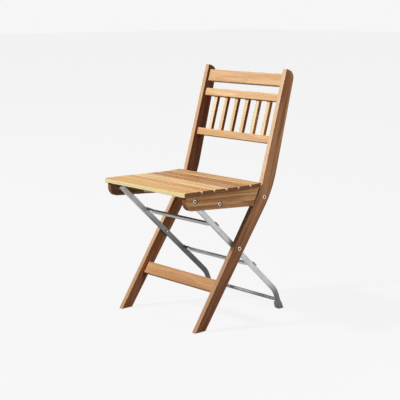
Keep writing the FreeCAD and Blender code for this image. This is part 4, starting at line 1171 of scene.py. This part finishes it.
@dataclass
class LinkStraps:
    """Two flat steel straps with round ends, between the stiles and the seat.

    Attributes:
        width: Width of a strap, in millimetres.
        inner: Its inner face, from the middle of the chair.
        outer: Its outer face.
        ease: How far its rims are eased.
        sides: How many sides its round ends have, both together.
        steel: Its finish, painted darker along its lower edge as shade.
    """

    width: float = 20.0
    inner: float = 178.0
    outer: float = 181.0
    ease: float = 0.5
    sides: int = 64
    # The lower tone paints shade along the strap's lower edge
    steel: GalvanisedSteel = GalvanisedSteel("galvanised_strap",
                                             ((420.0, "B9BABC"), (400.0, "A2A3A6")))

    def strap(self) -> bmesh.types.BMesh:
        """The right strap in its place."""
        shape = bmesh.new()
        bmesh.ops.create_circle(shape, cap_ends=True, segments=self.sides,
                                radius=self.width / 2 * MM)
        bmesh.ops.rotate(shape, verts=shape.verts, cent=(0, 0, 0),
                         matrix=Matrix.Rotation(math.pi / self.sides, 3, "Z"))
        rear, front = side_view("link_pivot_nuts"), side_view("seat_link_nuts")
        run = rear - front
        bmesh.ops.translate(shape, verts=[v for v in shape.verts if v.co.y > 0],
                            vec=(0, run.length, 0))
        grown = bmesh.ops.extrude_face_region(shape, geom=shape.faces[:])
        bmesh.ops.translate(shape, vec=(0, 0, (self.outer - self.inner) * MM),
                            verts=[g for g in grown["geom"]
                                   if isinstance(g, bmesh.types.BMVert)])
        bmesh.ops.bevel(shape, geom=rim_edges(shape), offset=self.ease * MM, segments=2,
                        profile=0.5, affect="EDGES", material=-1)
        way = run.normalized()
        turn = Matrix((ACROSS.cross(way) * -1, way, ACROSS)).transposed().to_4x4()
        return placed(shape, Matrix.Translation(front + ACROSS * self.inner * MM) @ turn)

    def build(self) -> None:
        """Makes both straps, each a piece of its own."""
        for side in Side:
            shape = self.strap()
            if side is Side.LEFT:
                bmesh.ops.scale(shape, vec=(-1, 1, 1), verts=shape.verts)
            name = side.name.lower()
            Piece("pressed_strap_" + name, Body.LINKS, Slot.LEG_STEEL,
                  ("link_strap_" + name,)).make(shape, self.steel)


# The seat

@dataclass
class SlattedSeat:
    """Six slats on two side rails, held by screws from below.

    Attributes:
        slats: Wood of each slat, from the front.
        rails: The side rails' nodes and their wood.
        screw_head: Radius of a screw's head, in millimetres.
        screw_shank: Radius of its shank.
        seeds: Shifts of the figure, one for each board.
    """

    slats: tuple[Board, ...] = (
        Board("EAC184", "DEAE70", "CF9755", "FFECB3"),
        Board("E6B882", "D6A46A", "C18750", "F3DAAE"),
        Board("F8D8A6", "EBC28B", "D5A46F", "F3DAAE"),
        Board("D6A777", "B98255", "9C6841", "F3DAAE"),
        Board("CF9A68", "B47E4E", "936039", "F3DAAE"),
        Board("E1B783", "D1A26C", "B8814D", "F3DAAE"),
    )
    # The right rail's grey-brown narrow faces paint the shade under the slats' overhang
    rails: tuple[tuple[str, Board], ...] = (
        ("seat_rail_left", Board("E8BD90", "CF9D6F", "8E5C3A", "C08A60")),
        ("seat_rail_right", Board("F1B882", "C1895A", "74462C", "8C735C")),
    )
    screw_head: float = 4.0
    screw_shank: float = 2.0
    seeds: Iterable[float] = field(default_factory=lambda: iter(range(57, 2000, 173)))

    def dress_slats(self) -> None:
        """Each slat is a board of its own, with the grain across the chair."""
        for number, board in enumerate(self.slats, start=1):
            node = "seat_slat_%d" % number
            grain = StraightGrain(node_middle(node), ACROSS, UPRIGHT)
            dress(node, OiledHardwood("oiled_hardwood_" + node, board, grain,
                                      next(self.seeds), ring_width=7.0, band_width=22.0))

    def dress_rails(self) -> None:
        """Both side rails, with the grain from front to rear."""
        for node, board in self.rails:
            grain = StraightGrain(node_middle(node), Vector((0.0, 1.0, -0.05)), ACROSS)
            dress(node, OiledHardwood("oiled_hardwood_" + node, board, grain,
                                      next(self.seeds), ring_width=4.0, band_width=9.0))

    def screw(self) -> bmesh.types.BMesh:
        """One pan-head screw on the X axis, its head at the start."""
        head, shank = self.screw_head, self.screw_shank
        depth, ease, core, arm, sink = 3.0, 0.5, 0.9, 2.3, 1.6
        length = 33.5
        shape = turned([
            (sink, 0.0), (sink, core), (0.15, arm), (0.0, arm + 0.2), (0.1, head - 1.2),
            (ease, head - 0.3), (2 * ease, head), (depth - 0.2, head), (depth, head - 0.2),
            (depth, shank), (length - 3.0, shank), (length, 0.0),
        ])
        press_ring(ring_of(shape, 0.15, arm), cross_slot(core, arm))
        press_ring(ring_of(shape, 0.0, arm + 0.2), cross_slot(core + 0.2, arm + 0.2))
        return shape

    def make_screws(self) -> None:
        """Twelve screws, standing in the deep holes under the side rails."""
        stand = Matrix.Rotation(-math.pi / 2, 4, "Y")
        shapes = [placed(self.screw(), Matrix.Translation(place) @ stand)
                  for place in self.screw_places()]
        Piece("pan_head_screws", Body.SEAT, Slot.BOLT_STEEL, ("slat_screws",)).make(
            joined(shapes), ZINC_PLATE)

    def screw_places(self) -> list[Vector]:
        """Where the twelve screw heads start, read from the CAD node's lowest rings."""
        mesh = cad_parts["slat_screws"].data
        # Cells of this size keep the screws' points apart
        cell_x, cell_y = 40 * MM, 18 * MM
        heads: dict[tuple[int, int], list[Vector]] = {}
        for point in mesh.vertices:
            key = (round(point.co.x / cell_x), round(point.co.y / cell_y))
            heads.setdefault(key, []).append(point.co.copy())
        places = []
        for points in heads.values():
            low = [min(p[axis] for p in points) for axis in range(3)]
            high = [max(p[axis] for p in points) for axis in range(3)]
            places.append(Vector(((low[0] + high[0]) / 2, (low[1] + high[1]) / 2, low[2])))
        return places

    def build(self) -> None:
        """Dresses the wood and makes the screws."""
        self.dress_slats()
        self.dress_rails()
        self.make_screws()


# The steel legs

@dataclass(frozen=True)
class Oval:
    """One level section of the foot, in millimetres.

    Attributes:
        height: Height above the floor.
        front: Its foremost point.
        rear: Its rearmost point.
        across: Half of its size across the chair.
        square: 2 is an ellipse, and a larger number a squarer oval.
        shift: How far its middle stands inwards from the leg's.
    """

    height: float
    front: float
    rear: float
    across: float
    square: float = 6.0
    shift: float = 3.1


@dataclass
class SteelLegs:
    """Two bent flat-oval legs with crossbars, rivets, weld beads and moulded feet.

    Attributes:
        left: Finish of the left leg, painted darker lower down as shade.
        right: Finish of the right leg, painted darker at its foot as shade.
        bars: Finish of the upper and middle crossbars, painted a little darker higher up as
            shade under the seat.
        foot_bar: Finish of the lowest crossbar and its welds.
        foot: Finish of the feet.
        leg_middle: Middle of the leg, from the middle of the chair in millimetres.
        rivet_head: Radius of a rivet's head.
        rivet_height: Height of its dome.
        bead_radius: Radius of a weld bead.
    """

    # The tones paint shade: the legs darker lower down, the upper crossbar under the seat
    left: GalvanisedSteel = GalvanisedSteel(
        "galvanised_tube_left",
        ((380.0, "CACACA"), (280.0, "888888"), (120.0, "606060")))
    right: GalvanisedSteel = GalvanisedSteel(
        "galvanised_tube_right",
        ((380.0, "C8C8C8"), (120.0, "D0D0D0"), (50.0, "787878")))
    bars: GalvanisedSteel = GalvanisedSteel(
        "galvanised_crossbar", ((340.0, "B0B0B0"), (180.0, "BCBCBC")), mottle=0.05,
        roughness=0.36)
    foot_bar: GalvanisedSteel = GalvanisedSteel(
        "galvanised_foot_crossbar", ((35.0, "9A9B9D"),), mottle=0.08, roughness=0.55,
        metallic=0.4)
    foot: MouldedPlastic = MouldedPlastic("moulded_polypropylene", "8A8A8B", "969697")
    leg_middle: float = 176.0
    rivet_head: float = 3.6
    rivet_height: float = 1.7
    bead_radius: float = 1.7

    def dress_tubes(self) -> None:
        """The legs and the three crossbars."""
        dress("steel_leg_left", self.left)
        dress("steel_leg_right", self.right)
        dress("upper_crossbar", self.bars)
        dress("middle_crossbar", self.bars)
        dress("foot_crossbar", self.foot_bar)

    def foot_sections(self) -> list[Oval]:
        """The foot from the middle of its sole, up round the outside, into its socket."""
        return [
            Oval(0.8, 214.5, 230.5, 5.6),
            Oval(0.0, 213.9, 231.1, 6.0),
            Oval(0.0, 212.0, 233.2, 7.4),
            Oval(0.5, 210.6, 234.2, 8.2),
            Oval(1.6, 208.9, 234.1, 8.7),
            Oval(4.0, 206.0, 233.0, 8.8),
            Oval(6.0, 203.9, 232.1, 8.8),
            Oval(8.0, 202.8, 231.2, 8.8),
            Oval(10.5, 202.1, 230.1, 8.8),
            Oval(13.0, 201.4, 228.9, 8.8),
            Oval(23.4, 198.8, 224.1, 8.75, shift=3.05),
            Oval(25.3, 198.8, 223.0, 8.45, square=5.0, shift=2.95),
            Oval(26.0, 199.5, 222.2, 7.8, square=4.5, shift=2.6),
            Oval(26.0, 200.6, 221.4, 4.7, square=3.0, shift=0.0),
            Oval(25.2, 201.0, 221.6, 4.5, square=3.0, shift=0.0),
            Oval(13.0, 206.0, 226.0, 4.5, square=3.0, shift=0.0),
        ]

    def place_oval(self, points: Sequence[bmesh.types.BMVert], oval: Oval) -> None:
        """Sets a ring of points on one section of the right foot.

        Args:
            points: The ring's points, round Z.
            oval: The section.
        """
        middle_x = self.leg_middle - oval.shift
        middle_y, deep = (oval.front + oval.rear) / 2, (oval.rear - oval.front) / 2
        power = 2 / oval.square
        for point in points:
            angle = math.atan2(point.co.y, point.co.x)
            cosine, sine = math.cos(angle), math.sin(angle)
            point.co = Vector((
                (middle_x + oval.across * math.copysign(abs(cosine) ** power, cosine)) * MM,
                (middle_y + deep * math.copysign(abs(sine) ** power, sine)) * MM,
                oval.height * MM))

    def moulded_foot(self) -> bmesh.types.BMesh:
        """The right foot: ring after ring is extruded from the middle of the sole."""
        shape = bmesh.new()
        first = bmesh.ops.create_circle(shape, cap_ends=True, segments=48, radius=1.0)
        unit = [point.co.copy() for point in first["verts"]]
        ring = list(first["verts"])
        sections = self.foot_sections()
        placed_rings = []
        for _ in sections[1:]:
            edges = {edge for point in ring for edge in point.link_edges
                     if edge.is_boundary or len(edge.link_faces) == 1}
            edges = [edge for edge in edges if all(v in ring for v in edge.verts)]
            grown = bmesh.ops.extrude_edge_only(shape, edges=edges)
            new_points = [g for g in grown["geom"] if isinstance(g, bmesh.types.BMVert)]
            placed_rings.append(ring)
            ring = self.in_order(new_points, unit)
        placed_rings.append(ring)
        bmesh.ops.contextual_create(shape, geom=ring)
        for points, oval in zip(placed_rings, sections):
            for point, start in zip(points, unit):
                point.co = start
            self.place_oval(points, oval)
        return shape

    def in_order(self, points: Sequence[bmesh.types.BMVert],
                 unit: Sequence[Vector]) -> list[bmesh.types.BMVert]:
        """A new ring's points in the order of the circle that it was drawn from."""
        return [min(points, key=lambda point: (point.co - place).length) for place in unit]

    def make_feet(self) -> None:
        """Both moulded feet."""
        for side in Side:
            shape = self.moulded_foot()
            if side is Side.LEFT:
                bmesh.ops.scale(shape, vec=(-1, 1, 1), verts=shape.verts)
            name = side.name.lower()
            Piece("moulded_foot_" + name, Body.LEGS, Slot.FOOT_PLASTIC,
                  ("leg_foot_" + name,)).make(shape, self.foot, 50.0)

    def make_rivets(self) -> None:
        """Four round-headed rivets, on the crossbars' flat ends."""
        rise = [(self.rivet_height * math.sin(a), self.rivet_head * math.cos(a))
                for a in (math.radians(d) for d in range(0, 91, 15))]
        length, shank, rim, lip = 9.0, 2.3, 0.2, 0.15
        profile = [(-length, 0.0), (-length, shank), (0.0, shank),
                   (0.0, self.rivet_head - rim)]
        profile += [(lip + x, radius) for x, radius in rise]
        shapes = []
        for place in self.rivet_places():
            stand = Matrix.Rotation(LEG_LEAN, 4, "X") @ Matrix.Rotation(math.pi / 2, 4, "Z")
            shapes.append(placed(turned(profile, 32), Matrix.Translation(place) @ stand))
        Piece("domed_rivets", Body.LEGS, Slot.RIVET_STEEL, ("crossbar_rivets",)).make(
            both_sides(joined(shapes)), DARK_RIVET)

    def rivet_places(self) -> list[Vector]:
        """Where the right side's rivet heads sit, from the CAD node's outline."""
        low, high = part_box("crossbar_rivets")
        outwards = Vector((0.0, math.cos(LEG_LEAN), math.sin(LEG_LEAN)))
        down = Vector((0.0, math.sin(LEG_LEAN), -math.cos(LEG_LEAN)))
        points = [Vector(p.co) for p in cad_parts["crossbar_rivets"].data.vertices
                  if p.co.x > 0]
        halfway = (max(p.dot(down) for p in points) + min(p.dot(down) for p in points)) / 2
        places = []
        for is_lower in (False, True):
            group = [p for p in points if (p.dot(down) > halfway) == is_lower]
            along = (max(p.dot(down) for p in group) + min(p.dot(down) for p in group)) / 2
            top = max(p.dot(outwards) for p in group) - self.rivet_height * MM
            places.append(ACROSS * self.leg_middle * MM + down * along + outwards * top)
        log.info("rivets between %s and %s", tuple(low), tuple(high))
        return places

    def make_weld_beads(self) -> None:
        """A rippled bead of weld round each end of the lowest crossbar."""
        low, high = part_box("foot_crossbar")
        tube = (high.z - low.z) / 2 / MM
        end = high.x / MM
        reach = self.bead_radius
        arc = [math.radians(d) for d in range(0, 91, 18)]
        sink, root = 0.2, 0.4
        profile = [(end - reach * math.sin(a), tube - sink + reach * math.cos(a)) for a in arc]
        shape = turned([(end, tube - root)] + profile + [(end, tube - root)], 60)
        ripples, swell = 13, 0.06
        for point in shape.verts:
            angle = math.atan2(point.co.z, point.co.y)
            grow = 1 + swell * math.sin(ripples * angle)
            out = math.hypot(point.co.y, point.co.z)
            if out > tube * MM:
                factor = (tube * MM + (out - tube * MM) * grow) / out
                point.co.y *= factor
                point.co.z *= factor
        Piece("weld_beads", Body.LEGS, Slot.LEG_STEEL).make(
            both_sides(placed(shape, Matrix.Translation(side_view("foot_crossbar")))),
            self.foot_bar)

    def build(self) -> None:
        """Dresses the tubes and makes the small parts."""
        self.dress_tubes()
        self.make_feet()
        self.make_rivets()
        self.make_weld_beads()


# Studio

@dataclass(frozen=True)
class SoftBox:
    """A round studio lamp that looks at the chair.

    Attributes:
        name: Name of the lamp.
        azimuth: Its direction from the chair, from the front towards the right.
        elevation: Its height as an angle.
        distance: Its distance from the aim, in metres.
        aim: Height of the point that it looks at, in metres.
        breadth: Its diameter, in metres.
        strength: Its light on a face turned to it at the aim, 1 showing a white face white.
    """

    name: str
    azimuth: float
    elevation: float
    distance: float
    aim: float
    breadth: float
    strength: float

    def build(self) -> None:
        """Hangs the lamp. A disc of power P gives P / (pi r squared) at a distance r."""
        data = bpy.data.lights.new(self.name, "AREA")
        data.shape = "DISK"
        data.size = self.breadth
        data.energy = self.strength * math.pi * math.pi * self.distance ** 2
        lamp = bpy.data.objects.new(self.name, data)
        towards = direction_from_chair(self.azimuth, self.elevation)
        lamp.location = UPRIGHT * self.aim + towards * self.distance
        lamp.rotation_euler = towards.to_track_quat("Z", "Y").to_euler()
        bpy.context.scene.collection.objects.link(lamp)


def direction_from_chair(azimuth: float, elevation: float) -> Vector:
    """The direction from the chair to a point at an azimuth and an elevation in degrees."""
    turn, rise = math.radians(azimuth), math.radians(elevation)
    return Vector((math.sin(turn) * math.cos(rise), -math.cos(turn) * math.cos(rise),
                   math.sin(rise)))


@dataclass
class Studio:
    """A pale floor, soft lamps at the front left and the right, and the camera.

    Attributes:
        backdrop: Colour of the wall, and of the floor's glow.
        ceiling: Colour that metal sees overhead.
        floor_paint: Colour of the floor under the lamps.
        floor_glow: Strength of the floor's glow.
        glow_share: How much of what the camera sees of the floor is glow.
        floor_size: Size of the floor, in metres.
        camera_azimuth: The camera's direction, from the front towards the right.
        camera_elevation: Its height as an angle.
        camera_distance: Its distance from the target, in metres.
        camera_target: The point in the middle of the picture.
        lens: Focal length, in millimetres.
        sensor: Width of the camera's sensor, in millimetres.
        lamps: The lamps.
        fill_low: Fill light from the walls.
        fill_high: Fill light from overhead.
    """

    backdrop: str = "F6F6F6"
    ceiling: str = "8A8A8C"
    floor_paint: str = "595959"
    floor_glow: float = 1.90
    glow_share: float = 0.50
    floor_size: float = 60.0
    camera_azimuth: float = 48.0
    camera_elevation: float = 10.45
    camera_distance: float = 3636.5 * MM
    camera_target: Vector = field(
        default_factory=lambda: Vector((-9.65 * MM, 12.9 * MM, 383.1 * MM)))
    lens: float = 95.73
    sensor: float = 36.0
    lamps: tuple[SoftBox, ...] = (
        SoftBox("key", -35.0, 36.5, 9.0, 0.45, 0.9, 1.15),
        SoftBox("side", 97.0, 6.0, 2.0, 0.60, 0.8, 0.34),
    )
    fill_low: float = 0.02
    fill_high: float = 0.42

    def make_camera(self) -> None:
        """The camera, level and looking at the middle of the picture."""
        back = direction_from_chair(self.camera_azimuth, self.camera_elevation)
        data = bpy.data.cameras.new("camera")
        data.lens, data.sensor_width = self.lens, self.sensor
        data.clip_end = 2 * self.floor_size
        camera = bpy.data.objects.new("camera", data)
        camera.location = self.camera_target + back * self.camera_distance
        camera.rotation_euler = back.to_track_quat("Z", "Y").to_euler()
        bpy.context.scene.collection.objects.link(camera)
        bpy.context.scene.camera = camera

    def seen_directly(self, tree: bpy.types.NodeTree) -> bpy.types.NodeSocket:
        """One for what the eye, a gloss or a glass shows, and nought for plain light.

        Args:
            tree: Node tree of the world or of the floor.

        Returns:
            The socket with that number.
        """
        path = add_node(tree, "ShaderNodeLightPath")
        shown = add_node(tree, "ShaderNodeMath",
                         {0: path.outputs["Is Camera Ray"],
                          1: path.outputs["Is Glossy Ray"]},
                         operation="ADD", use_clamp=True)
        return add_node(tree, "ShaderNodeMath",
                        {0: shown.outputs["Value"],
                         1: path.outputs["Is Transmission Ray"]},
                        operation="ADD", use_clamp=True).outputs["Value"]

    def make_world(self) -> None:
        """Fill light, most of it from overhead. A pale wall under a darker ceiling shows."""
        world = bpy.data.worlds.new("studio")
        world.use_nodes = True
        tree = world.node_tree
        tree.nodes.clear()
        direction = add_node(tree, "ShaderNodeTexCoord").outputs["Generated"]
        height = add_node(tree, "ShaderNodeSeparateXYZ", {"Vector": direction}).outputs["Z"]
        raised = add_node(tree, "ShaderNodeMapRange",
                          {"Value": height, "From Min": 0.25, "From Max": 0.75},
                          interpolation_type="SMOOTHSTEP").outputs["Result"]
        wall = add_node(tree, "ShaderNodeMix",
                        {MixSocket.FACTOR: raised,
                         MixSocket.FIRST_COLOUR: linear(self.backdrop),
                         MixSocket.SECOND_COLOUR: linear(self.ceiling)},
                        data_type="RGBA").outputs[MixResult.COLOUR]
        overhead = add_node(tree, "ShaderNodeMapRange",
                            {"Value": height, "From Min": 0.3, "To Min": self.fill_low,
                             "To Max": self.fill_high},
                            interpolation_type="SMOOTHSTEP").outputs["Result"]
        fill = add_node(tree, "ShaderNodeBackground",
                        {"Color": linear("FFFFFF"), "Strength": overhead})
        shown = add_node(tree, "ShaderNodeBackground", {"Color": wall, "Strength": 1.0})
        both = add_node(tree, "ShaderNodeMixShader",
                        {0: self.seen_directly(tree), 1: fill.outputs["Background"],
                         2: shown.outputs["Background"]})
        add_node(tree, "ShaderNodeOutputWorld", {"Surface": both.outputs["Shader"]})
        bpy.context.scene.world = world

    def make_floor(self) -> None:
        """A wide pale floor that keeps a light shadow."""
        shape = bmesh.new()
        bmesh.ops.create_grid(shape, x_segments=1, y_segments=1, size=self.floor_size / 2)
        mesh = bpy.data.meshes.new("floor")
        shape.to_mesh(mesh)
        shape.free()
        material, tree = empty_material("pale_floor_paint")
        paint = add_node(tree, "ShaderNodeBsdfDiffuse", {"Color": linear(self.floor_paint)})
        glow = add_node(tree, "ShaderNodeEmission",
                        {"Color": linear(self.backdrop), "Strength": self.floor_glow})
        share = add_node(tree, "ShaderNodeMath",
                         {0: self.seen_directly(tree), 1: self.glow_share},
                         operation="MULTIPLY").outputs["Value"]
        both = add_node(tree, "ShaderNodeMixShader",
                        {0: share, 1: paint.outputs["BSDF"], 2: glow.outputs["Emission"]})
        add_node(tree, "ShaderNodeOutputMaterial", {"Surface": both.outputs["Shader"]})
        mesh.materials.append(material)
        floor = bpy.data.objects.new("floor", mesh)
        bpy.context.scene.collection.objects.link(floor)

    def build(self) -> None:
        """Makes the camera, the light and the floor."""
        self.make_camera()
        self.make_world()
        self.make_floor()
        for lamp in self.lamps:
            lamp.build()
        bpy.context.scene.view_settings.view_transform = "Standard"


def main() -> None:
    """Builds the chair's finished look, one sub-assembly after another."""
    logging.basicConfig(level=logging.INFO)
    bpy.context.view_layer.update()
    for assembly in (BackFrame(), LinkStraps(), SlattedSeat(), SteelLegs(),
                     PivotHardware(), Studio()):
        assembly.build()


if __name__ == "__main__":
    main()
